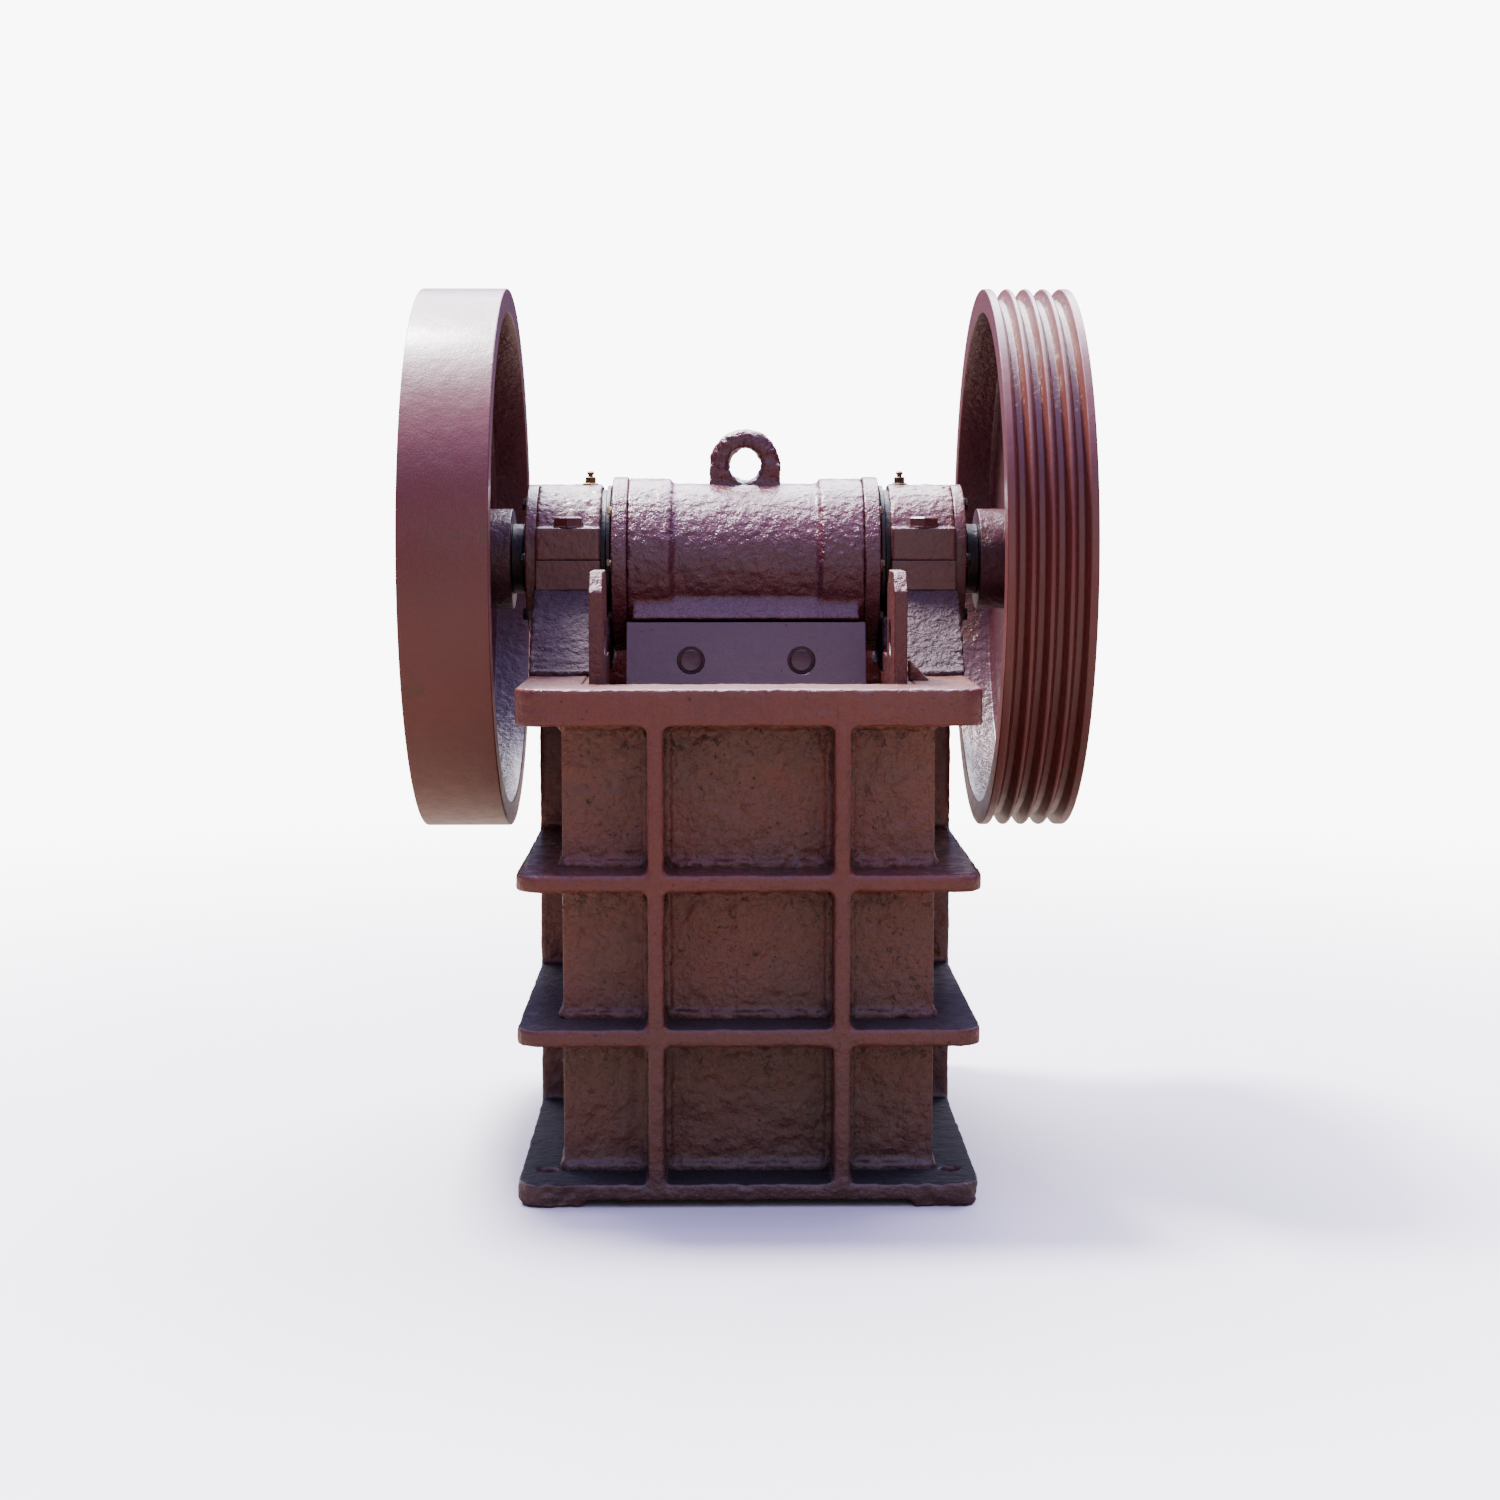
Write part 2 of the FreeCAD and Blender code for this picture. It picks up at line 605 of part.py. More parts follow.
def lifting_eye():
    """The cast eye on top of the jaw head, its hole along Y."""
    half = "eye_thickness / 2"
    start = ("0", f"shaft_y - {half}", EYE_CENTRE_Z)
    ring = along_y("eye_ring", start, "eye_radius", "eye_thickness")
    stem = box("eye_stem", ("-eye_radius", f"shaft_y - {half}", "shaft_z + eye_root"),
               ("2 * eye_radius", "eye_thickness", "eye_height - eye_root"))
    blank = fuse("eye_blank", [ring, stem])
    hole = along_y("eye_hole", ("0", f"shaft_y - {half} - overrun", EYE_CENTRE_Z),
                   "eye_hole_radius", "eye_thickness + 2 * overrun")
    barrel = along_x("eye_foot", ("-eye_radius - overrun", "shaft_y", JAW_AXIS_Z),
                     "head_radius", "2 * (eye_radius + overrun)")
    return cut("lifting_eye", blank, fuse("eye_tools", [hole, barrel]))


def jaw_toggle_seat():
    """The seat at the jaw's foot: it clears the toggle's end by the throw of the jaw."""
    groove = along_x("jaw_seat_groove", ("-toggle_half_width - overrun", "toggle_front_y",
                                         "toggle_front_z"),
                     "seat_groove_radius", "2 * (toggle_half_width + overrun)")
    return cut("jaw_toggle_seat", seat_block("jaw_seat_block"), groove)


# ---- toggle and tension rod --------------------------------------------------------------


def adjusting_block():
    """The rear toggle seat against the rear wall."""
    block = box("block_blank", ("-block_half_width", "block_front", "block_bottom"),
                ("2 * block_half_width", "wall_half_length - end_thickness - block_front",
                 "block_top - block_bottom"))
    groove = along_x("block_groove", ("-block_half_width - overrun", "toggle_rear_y",
                                      "toggle_rear_z"),
                     "block_groove_radius", "2 * (block_half_width + overrun)")
    return cut("adjusting_block", block, groove)


def toggle_plate():
    """A plate with two rolled ends, from the rear seat down to the jaw's foot."""
    ends = []
    for name, y, z in (("front", "toggle_front_y", "toggle_front_z"),
                       ("rear", "toggle_rear_y", "toggle_rear_z")):
        ends.append(along_x(f"toggle_{name}", ("-toggle_half_width", y, z),
                            "toggle_radius", "2 * toggle_half_width"))
    run = "(toggle_rear_y - toggle_front_y)"
    rise = "(toggle_rear_z - toggle_front_z)"
    span = f"sqrt({run}^2 + {rise}^2)"
    side_y = f"toggle_web_half * {rise} / {span}"
    side_z = f"toggle_web_half * {run} / {span}"
    points = [(f"toggle_front_y + {side_y}", f"toggle_front_z - {side_z}"),
              (f"toggle_rear_y + {side_y}", f"toggle_rear_z - {side_z}"),
              (f"toggle_rear_y - {side_y}", f"toggle_rear_z + {side_z}"),
              (f"toggle_front_y - {side_y}", f"toggle_front_z + {side_z}")]
    web = extruded("toggle_web", "YZ_Plane", "-toggle_half_width", points,
                   "2 * toggle_half_width")
    return fuse("toggle_plate", ends + [web])


def tension_rod():
    """The rod that pulls the jaw back against the toggle, with an eye round its pin."""
    start = "eye_centre_y + rod_eye_inner + rod_root"
    bar = along_y("rod_bar", ("0", start, "rod_z"), "rod_radius", f"rod_end - ({start})")
    ring = along_x("rod_eye", ("-rod_eye_half", "eye_centre_y", "rod_z"),
                   "rod_eye_outer", "2 * rod_eye_half")
    hole = along_x("rod_eye_hole", ("-rod_eye_half - overrun", "eye_centre_y", "rod_z"),
                   "rod_eye_inner", "2 * (rod_eye_half + overrun)")
    return cut("tension_rod", fuse("rod_blank", [bar, ring]), hole)


def jaw_rod_lug():
    """Two ears under the jaw's foot that carry the tension rod's pin."""
    pieces = []
    low = "rod_z - eccentricity - lug_reach"
    points = [("eye_centre_y - lug_reach", low), ("eye_centre_y + lug_reach", low),
              ("eye_centre_y + lug_reach", "rod_z"), ("seat_face - seat_depth", "jaw_bottom"),
              ("eye_centre_y - 3 * lug_reach", "jaw_bottom")]
    for index, start in enumerate(("-lug_half_gap - lug_thickness", "lug_half_gap")):
        pieces.append(extruded(f"rod_ear_{index}", "YZ_Plane", start, points, "lug_thickness"))
    pin = along_x("rod_pin", ("-lug_half_gap - lug_thickness", "eye_centre_y",
                              "rod_z - eccentricity"),
                  "pin_radius", "2 * (lug_half_gap + lug_thickness)")
    return fuse("jaw_rod_lug", pieces + [pin])


def spring_and_washers():
    """The tension spring's envelope and the plate at each of its ends."""
    spring = along_y("spring_body", ("0", "spring_start", "rod_z"), "spring_outer",
                     "spring_end - spring_start")
    inside = along_y("spring_inside", ("0", "spring_start - overrun", "rod_z"), "spring_inner",
                     "spring_end - spring_start + 2 * overrun")
    node(cut("tension_spring", spring, inside), "tension_spring")
    washers = []
    for index, start in enumerate(("wall_half_length", "spring_end")):
        plate = along_y(f"washer_{index}", ("0", start, "rod_z"), "washer_radius",
                        "washer_thickness")
        bore = along_y(f"washer_bore_{index}", ("0", f"{start} - overrun", "rod_z"),
                       "rod_radius + seal_clearance", "washer_thickness + 2 * overrun")
        washers.append(cut(f"washer_plate_{index}", plate, bore))
    node(group("spring_washers", washers), "spring_washers")


# ---- rotor -------------------------------------------------------------------------------


def eccentric_shaft():
    """The shaft: offset middle under the jaw head, journals and plain ends."""
    middle = along_x("shaft_eccentric", ("-eccentric_half_length", "shaft_y", JAW_AXIS_Z),
                     "eccentric_radius", "2 * eccentric_half_length")
    journals = along_x("shaft_journals", ("-journal_end", "shaft_y", "shaft_z"),
                       "journal_radius", "2 * journal_end")
    ends = along_x("shaft_ends", ("-shaft_half_length", "shaft_y", "shaft_z"),
                   "shaft_end_radius", "2 * shaft_half_length")
    return fuse("eccentric_shaft", [middle, journals, ends])


def wheel_inside(sign):
    """The wheel's outline below its tread, from the outer rim edge to the inner one."""
    inside = "wheel_radius - rim_thickness"
    rim_root = f"{inside} - 3 * rim_fillet"
    hub_root = "hub_radius + hub_fillet"
    stations = [("wheel_outer", inside), ("web_outer + rim_fillet", f"{inside} - rim_fillet"),
                ("web_outer", rim_root), ("web_outer", hub_root),
                ("web_outer + hub_fillet / 2", "hub_radius"), ("hub_outer", "hub_radius"),
                ("hub_outer", "shaft_end_radius"), ("hub_inner", "shaft_end_radius"),
                ("hub_inner", "hub_radius"), ("web_inner - hub_fillet / 2", "hub_radius"),
                ("web_inner", hub_root), ("web_inner", rim_root),
                ("web_inner - rim_fillet", f"{inside} - rim_fillet"), ("wheel_inner", inside)]
    return [(f"{sign} * ({x})", radius) for x, radius in stations]


def flywheel():
    body = turned("flywheel", [("-1 * wheel_inner", "wheel_radius"),
                               ("-1 * wheel_outer", "wheel_radius")] + wheel_inside("-1"))
    place(body, "0", "shaft_y", "shaft_z")
    return body


def belt_pulley():
    """The driven wheel, with its V-belt grooves round the tread."""
    middle = "(wheel_inner + wheel_outer) / 2"
    tread = [("wheel_inner", "wheel_radius")]
    for index in range(BELT_GROOVES):
        centre = f"{middle} + ({index - (BELT_GROOVES - 1) / 2}) * groove_pitch"
        bottom = "wheel_radius - groove_depth"
        tread += [(f"{centre} - groove_top / 2", "wheel_radius"),
                  (f"{centre} - groove_bottom / 2", bottom),
                  (f"{centre} + groove_bottom / 2", bottom),
                  (f"{centre} + groove_top / 2", "wheel_radius")]
    tread.append(("wheel_outer", "wheel_radius"))
    body = turned("belt_pulley", tread + wheel_inside("1"))
    place(body, "0", "shaft_y", "shaft_z")
    return body


# ---- the assembly --------------------------------------------------------------------------


def build_frame():
    node(end_wall("front_wall", "-wall_half_length"), "front_wall")
    node(rear_wall(), "rear_wall")
    for side in ("left", "right"):
        wall_x = low_x(side, "wall_half_width - side_thickness", "wall_half_width")
        node(box(f"side_wall_{side}", (wall_x, "-wall_half_length", "base_top"),
                 ("side_thickness", "2 * wall_half_length", "flange_bottom - base_top")),
             f"side_wall_{side}")
        node(side_ribs(f"side_ribs_{side}", low_x(side, "wall_half_width", "shelf_half_width")),
             f"side_ribs_{side}")
    node(end_ribs("front_ribs", "-shelf_half_length"), "front_ribs")
    node(end_ribs("rear_ribs", "wall_half_length"), "rear_ribs")
    node(base_flange(), "base_flange")
    node(band("lower_shelf", "lower_bottom", "lower_top", "wall_half_width",
              "wall_half_length"), "lower_shelf")
    node(band("upper_shelf", "upper_bottom", "upper_top", "wall_half_width",
              "wall_half_length"), "upper_shelf")
    node(band("top_flange", "flange_bottom", "flange_top", "wall_half_width - side_thickness",
              "wall_half_length - end_thickness"), "top_flange")
    for side in ("left", "right"):
        node(pedestal(side), f"bearing_pedestal_{side}")
        node(bearing_seat(side), f"bearing_seat_{side}")
        node(bearing_cap(side), f"bearing_cap_{side}")
        node(disc_cover(f"bearing_cover_{side}", side, "housing_outer", "cover_outer",
                        "dome_radius", "journal_radius + seal_clearance", "shaft_z"),
             f"bearing_cover_{side}")
        node(cheek_plate(side), f"cheek_plate_{side}")
    node(fixed_jaw_plate(), "fixed_jaw_plate")
    node(adjusting_block(), "adjusting_block")
    node(toggle_plate(), "toggle_plate")
    node(tension_rod(), "tension_rod")
    spring_and_washers()


def build_rotor():
    node(eccentric_shaft(), "eccentric_shaft")
    node(flywheel(), "flywheel")
    node(belt_pulley(), "belt_pulley")
    for side in ("left", "right"):
        node(disc_cover(f"shaft_sleeve_{side}", side, "sleeve_inner", "hub_inner",
                        "sleeve_radius", "shaft_end_radius", "shaft_z"), f"shaft_sleeve_{side}")


def build_swing_jaw():
    node(swing_jaw(), "swing_jaw")
    for side in ("left", "right"):
        node(disc_cover(f"jaw_cover_{side}", side, "ring_outer", "cap_outer", "cap_radius",
                        "eccentric_radius + seal_clearance", JAW_AXIS_Z), f"jaw_cover_{side}")
    node(lifting_eye(), "lifting_eye")
    node(moving_jaw_plate(), "moving_jaw_plate")
    node(jaw_clamp(), "jaw_clamp")
    node(jaw_toggle_seat(), "jaw_toggle_seat")
    node(jaw_rod_lug(), "jaw_rod_lug")


def check_document():
    """Stop before anything is written if a feature failed or a shape isn't sound."""
    for item in doc.Objects:
        if {"Invalid", "Error"} & set(item.State):
            raise RuntimeError(f"{item.Label} failed: {item.State}")
    for item in nodes:
        if item.Shape.isNull() or not item.Shape.isValid():
            raise RuntimeError(f"{item.Label} has no sound shape")


def write_parts():
    os.makedirs("parts", exist_ok=True)
    for item in nodes:
        item.Shape.exportStep(f"parts/{item.Label}.step")
        litres = item.Shape.Volume / 1e6
        print(f"{item.Label}: {len(item.Shape.Solids)} solid(s), {litres:.3f} litres")


build_frame()
build_rotor()
build_swing_jaw()
doc.recompute()
check_document()
write_parts()
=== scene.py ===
import json
import math

import bpy
from mathutils import Matrix, Vector


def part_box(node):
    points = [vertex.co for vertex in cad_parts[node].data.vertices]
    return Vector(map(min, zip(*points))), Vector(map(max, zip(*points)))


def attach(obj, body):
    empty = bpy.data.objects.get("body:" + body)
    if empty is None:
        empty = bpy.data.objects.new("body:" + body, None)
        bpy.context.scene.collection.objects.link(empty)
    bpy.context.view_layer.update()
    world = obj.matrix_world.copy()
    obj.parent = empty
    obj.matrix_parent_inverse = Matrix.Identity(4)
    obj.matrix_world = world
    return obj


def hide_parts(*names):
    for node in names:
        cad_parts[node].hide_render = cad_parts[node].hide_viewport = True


# A single-toggle jaw crusher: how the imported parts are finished, lit and shown.
# Metres, X to the right seen from the feed side, +Y to the rear, +Z up.

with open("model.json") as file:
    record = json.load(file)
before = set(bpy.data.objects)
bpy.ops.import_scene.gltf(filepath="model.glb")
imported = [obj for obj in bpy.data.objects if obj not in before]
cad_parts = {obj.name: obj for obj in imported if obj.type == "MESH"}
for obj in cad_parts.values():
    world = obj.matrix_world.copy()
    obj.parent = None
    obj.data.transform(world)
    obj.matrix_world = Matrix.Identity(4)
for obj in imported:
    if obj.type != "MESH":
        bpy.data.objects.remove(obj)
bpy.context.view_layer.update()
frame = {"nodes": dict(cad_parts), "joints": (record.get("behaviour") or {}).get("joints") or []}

MM = 0.001
SIDES = (("left", -1), ("right", 1))


def spans(node):
    """Lowest and highest X, Y and Z of a part of the frame, as three pairs."""
    low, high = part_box(node)
    return tuple(zip(low, high))


# ---- places read from the frame ------------------------------------------------------

SHAFT = Vector(next(joint for joint in frame["joints"] if joint["name"] == "rotor_spin")["pos_m"])
JAW_AXIS = Vector(next(joint for joint in frame["joints"] if joint["name"] == "jaw_swing")["pos_m"])
WALL_X = spans("side_wall_right")[0][1]
WALL_Y = spans("rear_wall")[1][1]
SHELF_X, SHELF_Y = spans("upper_shelf")[0][1], spans("upper_shelf")[1][1]
BAYS = [(spans("base_flange")[2][1], spans("lower_shelf")[2][0]),
        (spans("lower_shelf")[2][1], spans("upper_shelf")[2][0]),
        (spans("upper_shelf")[2][1], spans("top_flange")[2][0])]
RIB_OUTER = spans("front_ribs")[0][1]
RIB_THICKNESS = 16 * MM
RIB_SUNK = 4 * MM
SIDE_RIB = spans("side_ribs_right")[1]

# ---- modelling helpers ---------------------------------------------------------------


def deselect():
    bpy.ops.object.select_all(action="DESELECT")


def activate(item):
    deselect()
    item.select_set(True)
    bpy.context.view_layer.objects.active = item


def edit(item, mode="VERT"):
    """Enter edit mode on one piece with nothing selected."""
    activate(item)
    bpy.ops.object.mode_set(mode="EDIT")
    bpy.ops.mesh.select_mode(type=mode)
    bpy.ops.mesh.select_all(action="DESELECT")


def leave():
    bpy.ops.object.mode_set(mode="OBJECT")


def pick(item, kind, wanted):
    """Select the vertices, edges or faces that a test accepts, and stay in edit mode."""
    bpy.ops.object.mode_set(mode="OBJECT")
    for element in getattr(item.data, kind):
        element.select = bool(wanted(element))
    bpy.ops.object.mode_set(mode="EDIT")


def apply(item, kind, **settings):
    """Add one modifier to a piece and apply it."""
    activate(item)
    modifier = item.modifiers.new(kind.lower(), kind)
    for key, value in settings.items():
        setattr(modifier, key, value)
    bpy.ops.object.modifier_apply(modifier=modifier.name)


def settle(item):
    """Put a piece's place into its mesh, so that its object sits at the origin."""
    activate(item)
    bpy.ops.object.transform_apply(location=True, rotation=True, scale=True)


def smooth(item, angle=35):
    activate(item)
    bpy.ops.object.shade_smooth_by_angle(angle=math.radians(angle))


def join(items, name):
    deselect()
    for item in items:
        item.select_set(True)
    bpy.context.view_layer.objects.active = items[0]
    if len(items) > 1:
        bpy.ops.object.join()
    items[0].name = name
    items[0].data.name = name
    return items[0]


def named(name):
    """The primitive that was just added, under its own name."""
    item = bpy.context.active_object
    item.name = name
    item.data.name = name
    return item


def block(name, x, y, z):
    """A cube between three pairs of coordinates."""
    deselect()
    centre = [(low + high) / 2 for low, high in (x, y, z)]
    size = [high - low for low, high in (x, y, z)]
    bpy.ops.mesh.primitive_cube_add(size=1, location=centre, scale=size)
    item = named(name)
    settle(item)
    return item


def lathe(name, stations, vertices=48):
    """A closed turning along +Z: a circle extruded and resized from station to station."""
    deselect()
    start, radius = stations[0]
    bpy.ops.mesh.primitive_circle_add(vertices=vertices, radius=radius, fill_type="NGON",
                                      location=(0, 0, start))
    item = named(name)
    settle(item)
    edit(item)
    bpy.ops.mesh.select_all(action="SELECT")
    height = start
    for following, wide in stations[1:]:
        bpy.ops.mesh.extrude_region_move(
            TRANSFORM_OT_translate={"value": (0, 0, following - height)})
        ratio = wide / radius
        bpy.ops.transform.resize(value=(ratio, ratio, 1), center_override=(0, 0, following))
        height, radius = following, wide
    bpy.ops.mesh.select_all(action="SELECT")
    bpy.ops.mesh.normals_make_consistent(inside=False)
    leave()
    return item


AXIS_TURNS = {
    "+x": Matrix.Rotation(math.radians(90), 4, "Y"),
    "-x": Matrix.Rotation(math.radians(-90), 4, "Y"),
    "+y": Matrix.Rotation(math.radians(-90), 4, "X"),
    "-y": Matrix.Rotation(math.radians(90), 4, "X"),
    "+z": Matrix.Identity(4),
}


def stand(axis, point, spin=0):
    """The matrix that stands a turning on a point, along an axis, spun about itself."""
    turn = AXIS_TURNS[axis] @ Matrix.Rotation(math.radians(spin), 4, "Z")
    return Matrix.Translation(point) @ turn


def copies(template, name, matrices):
    """Copies of a template in one piece, each from its own mesh; the template goes."""
    made = []
    for matrix in matrices:
        mesh = template.data.copy()
        mesh.transform(matrix)
        item = bpy.data.objects.new(name, mesh)
        bpy.context.scene.collection.objects.link(item)
        made.append(item)
    bpy.data.objects.remove(template)
    return join(made, name)


def from_node(node, name):
    """A copy of a frame part with its loose triangles merged into faces."""
    item = bpy.data.objects.new(name, frame["nodes"][node].data.copy())
    bpy.context.scene.collection.objects.link(item)
    edit(item)
    bpy.ops.mesh.select_all(action="SELECT")
    bpy.ops.mesh.remove_doubles(threshold=0.01 * MM)
    bpy.ops.mesh.dissolve_limited(angle_limit=math.radians(0.4))
    leave()
    return item


def eased(item, width, segments=2, angle=28):
    """Break the sharp edges of a piece."""
    apply(item, "BEVEL", width=width * MM, segments=segments, limit_method="ANGLE",
          angle_limit=math.radians(angle), miter_outer="MITER_ARC")
    smooth(item, angle)
    apply(item, "WEIGHTED_NORMAL", keep_sharp=True)


def lumps(item, grain, depth, group=""):
    """Push a surface in and out by a solid noise of a given grain, all in millimetres."""
    texture = bpy.data.textures.new(f"{item.name}_lumps", "CLOUDS")
    texture.noise_scale = grain * MM
    apply(item, "DISPLACE", texture=texture, strength=depth * MM, mid_level=0.5,
          texture_coords="LOCAL", vertex_group=group)


def cast_over(item, voxel, rounds=1, relief=()):
    """Turn a shape into one casting: an even skin, worn round, with lumps of grain and depth."""
    apply(item, "REMESH", mode="VOXEL", voxel_size=voxel * MM, use_smooth_shade=True)
    apply(item, "SMOOTH", factor=0.5, iterations=rounds)
    for grain, depth in relief:
        lumps(item, grain, depth)
    return item


# ---- finishes ------------------------------------------------------------------------


class Wire:
    """A shader socket that takes part in arithmetic."""

    def __init__(self, finish, socket):
        self.finish = finish
        self.socket = socket

    def _math(self, operation, first, second):
        return self.finish.add("Math", {"operation": operation}, {0: first, 1: second})

    def __add__(self, other):
        return self._math("ADD", self, other)

    def __radd__(self, other):
        return self._math("ADD", other, self)

    def __sub__(self, other):
        return self._math("SUBTRACT", self, other)

    def __rsub__(self, other):
        return self._math("SUBTRACT", other, self)

    def __mul__(self, other):
        return self._math("MULTIPLY", self, other)

    def __rmul__(self, other):
        return self._math("MULTIPLY", other, self)


class Finish:
    """The nodes of one material; every node comes from add()."""

    def __init__(self, name, world=None):
        if world:
            self.tree = world.node_tree
            return
        self.material = bpy.data.materials.new(name)
        self.material.use_nodes = True
        self.tree = self.material.node_tree
        self.tree.nodes.clear()
        self.place = self.add("TexCoord", output="Object")

    def add(self, kind, settings=None, sockets=None, output=0):
        """One node of a type, with its settings and the values or links of its sockets."""
        node = self.tree.nodes.new("ShaderNode" + kind)
        for key, value in (settings or {}).items():
            setattr(node, key, value)
        for key, value in (sockets or {}).items():
            if isinstance(value, Wire):
                self.tree.links.new(value.socket, node.inputs[key])
            else:
                node.inputs[key].default_value = value
        return Wire(self, node.outputs[output])

    def noise(self, scale, detail=3, roughness=0.55, distortion=0):
        """Solid noise whose features are about 1 / scale metres across."""
        return self.add("TexNoise", None, {"Vector": self.place, "Scale": scale, "Detail": detail,
                                           "Roughness": roughness, "Distortion": distortion})

    def ramp(self, value, low, high):
        """0 below low, 1 above high, and an eased step between them."""
        return self.add("MapRange", {"interpolation_type": "SMOOTHSTEP"},
                        {"Value": value, "From Min": low, "From Max": high})

    def blend(self, factor, first, second):
        """One colour over another."""
        return self.add("Mix", {"data_type": "RGBA"}, {0: factor, 6: first, 7: second}, 2)

    def bump(self, height, distance, strength=1.0, below=None):
        sockets = {"Height": height, "Distance": distance, "Strength": strength}
        if below is not None:
            sockets["Normal"] = below
        return self.add("Bump", None, sockets)

    def height(self):
        """Height above the floor, in metres."""
        return self.add("SeparateXYZ", None, {0: self.place}, "Z")

    def facing_up(self):
        """1 on level tops, 0 on upright faces and undersides."""
        normal = self.add("NewGeometry", output="Normal")
        height = self.add("SeparateXYZ", None, {0: normal}, "Z")
        return self.ramp(height, 0.55, 0.95)

    def finish(self, **surface):
        """Close the material with its surface shader; names use _ for spaces."""
        sockets = {key.replace("_", " "): value for key, value in surface.items()}
        shader = self.add("BsdfPrincipled", None, sockets)
        self.add_output(shader)
        return self.material

    def add_output(self, shader, kind="OutputMaterial"):
        output = self.tree.nodes.new("ShaderNode" + kind)
        self.tree.links.new(shader.socket, output.inputs["Surface"])


def shade(red, green, blue):
    """A colour as the eye names it (0 to 255), in the light's own scale."""
    linear = [((value / 255 + 0.055) / 1.055) ** 2.4 if value > 10 else value / 255 / 12.92
              for value in (red, green, blue)]
    return (*linear, 1.0)


# Tones of bare spots, dirt, dust and rust under and over the enamel, and of painted shade and glints.
# The last tone on the next line is the crevice tone: grime and painted shade.
PIT, NICK, SCAB, GRIME_AND_CREVICE_SHADE = shade(36, 22, 22), shade(52, 26, 24), shade(62, 22, 26), shade(50, 32, 30)
LOW_DIRT, FOOT_DIRT = shade(62, 55, 53), shade(84, 72, 72)
# The shelf and base dust tones are dark dust and painted shade; the top dust tone is pale dust.
SHELF_DUST_AND_SHADE, BASE_DUST_AND_SHADE, TOP_DUST = shade(60, 54, 58), shade(26, 24, 25), shade(150, 128, 124)
# The two chip tones stand for chipped paint and painted glints along the pulley's upper grooves.
RUST, PALE_CHIP_AND_GLINT, RUSTY_CHIP_AND_GLINT = shade(92, 58, 40), shade(168, 150, 118), shade(132, 76, 42)


def enamel(name, coat_tone, worn_tone, roughness=0.34, pits=1.0, grain=1.0, dirt_and_crevice_shade=0.5, coat=0.4,
           crumb_scale=75, scabs=0):
    """Gloss enamel brushed over rough cast iron, with pits, grime and painted shade in the corners,
    and dust that is painted shade on low ledges.
    """
    made = Finish(name)
    drift = made.ramp(made.noise(9, 4, 0.6), 0.35, 0.65)
    mottle = made.ramp(made.noise(70, 5, 0.65), 0.36, 0.68)
    colour = made.blend(drift * 0.6 + mottle * 0.3, coat_tone, worn_tone)

    patches = made.ramp(made.noise(14, 3), 0.42, 0.66)
    pit = made.ramp(made.noise(170, 3, 0.6) + patches * 0.05 * pits, 0.70, 0.75)
    nick = made.ramp(made.noise(420, 2, 0.5) + patches * 0.04 * pits, 0.72, 0.77)
    colour = made.blend(pit * 0.8, colour, PIT)
    colour = made.blend(nick * 0.7, colour, NICK)

    under = 0
    for _, top in BAYS:
        nearing = made.ramp(made.height(), top - 0.06, top)
        under = under + nearing * made.ramp(made.height(), top + 4 * MM, top + 2 * MM)
    scab = made.ramp(made.noise(85, 4, 0.7, 0.6) + under * 0.10, 0.66, 0.71) * scabs
    colour = made.blend(scab * 0.75, colour, SCAB)

    low = made.ramp(made.height(), 0.42, 0.02)
    # Painted shade: ambient occlusion darkens corners, creases and hollows toward the crevice tone,
    # mixed with noisy real grime.
    hollow = made.add("AmbientOcclusion", {"samples": 4}, {"Distance": 0.016}, "AO")
    grime_and_crevice_shade = made.ramp(hollow + made.noise(80, 4) * 0.5, 1.0, 0.62) * dirt_and_crevice_shade
    colour = made.blend(grime_and_crevice_shade, colour, GRIME_AND_CREVICE_SHADE)
    colour = made.blend(low * 0.45, colour, LOW_DIRT)
    foot = made.ramp(made.height(), 0.06, 0.02)
    colour = made.blend(foot * 0.55, colour, FOOT_DIRT)

    # Dust on level tops: pale high up, and near black on the shelf and base tops as painted shade.
    level = made.facing_up()
    dust_and_shade = level * made.ramp(made.noise(45, 5, 0.7) + low * 0.4, 0.35, 0.7)
    dust_and_shade_tone = made.blend(made.ramp(made.height(), 0.36, 0.5),
                           made.blend(low, SHELF_DUST_AND_SHADE, BASE_DUST_AND_SHADE), TOP_DUST)
    dust_and_shade_weight = 0.3 + made.ramp(made.height(), 0.46, 0.37) * 0.4 + low * 0.3
    colour = made.blend(dust_and_shade * dust_and_shade_weight, colour, dust_and_shade_tone)

    gloss = roughness + mottle * 0.1 + grime_and_crevice_shade * 0.25 + dust_and_shade * (0.12 + low * 0.5)
    normal = made.bump(made.noise(30, 3, 0.5), 3.0 * MM * grain, 0.5)
    crumbs = made.ramp(made.noise(crumb_scale, 3, 0.6), 0.30, 0.75)
    normal = made.bump(crumbs, 1.6 * MM * grain, 0.9, normal)
    normal = made.bump(made.noise(190, 3, 0.6), 2.0 * MM * grain, 0.8, normal)
    normal = made.bump(made.noise(520, 3, 0.6), 0.6 * MM * grain, 0.8, normal)
    normal = made.bump(1 - pit - nick + scab, 1.3 * MM, 0.8, normal)
    return made.finish(Base_Color=colour, Roughness=gloss, Normal=normal, IOR=1.5,
                       Coat_Weight=coat * (1 - dust_and_shade * low), Coat_Roughness=0.18)


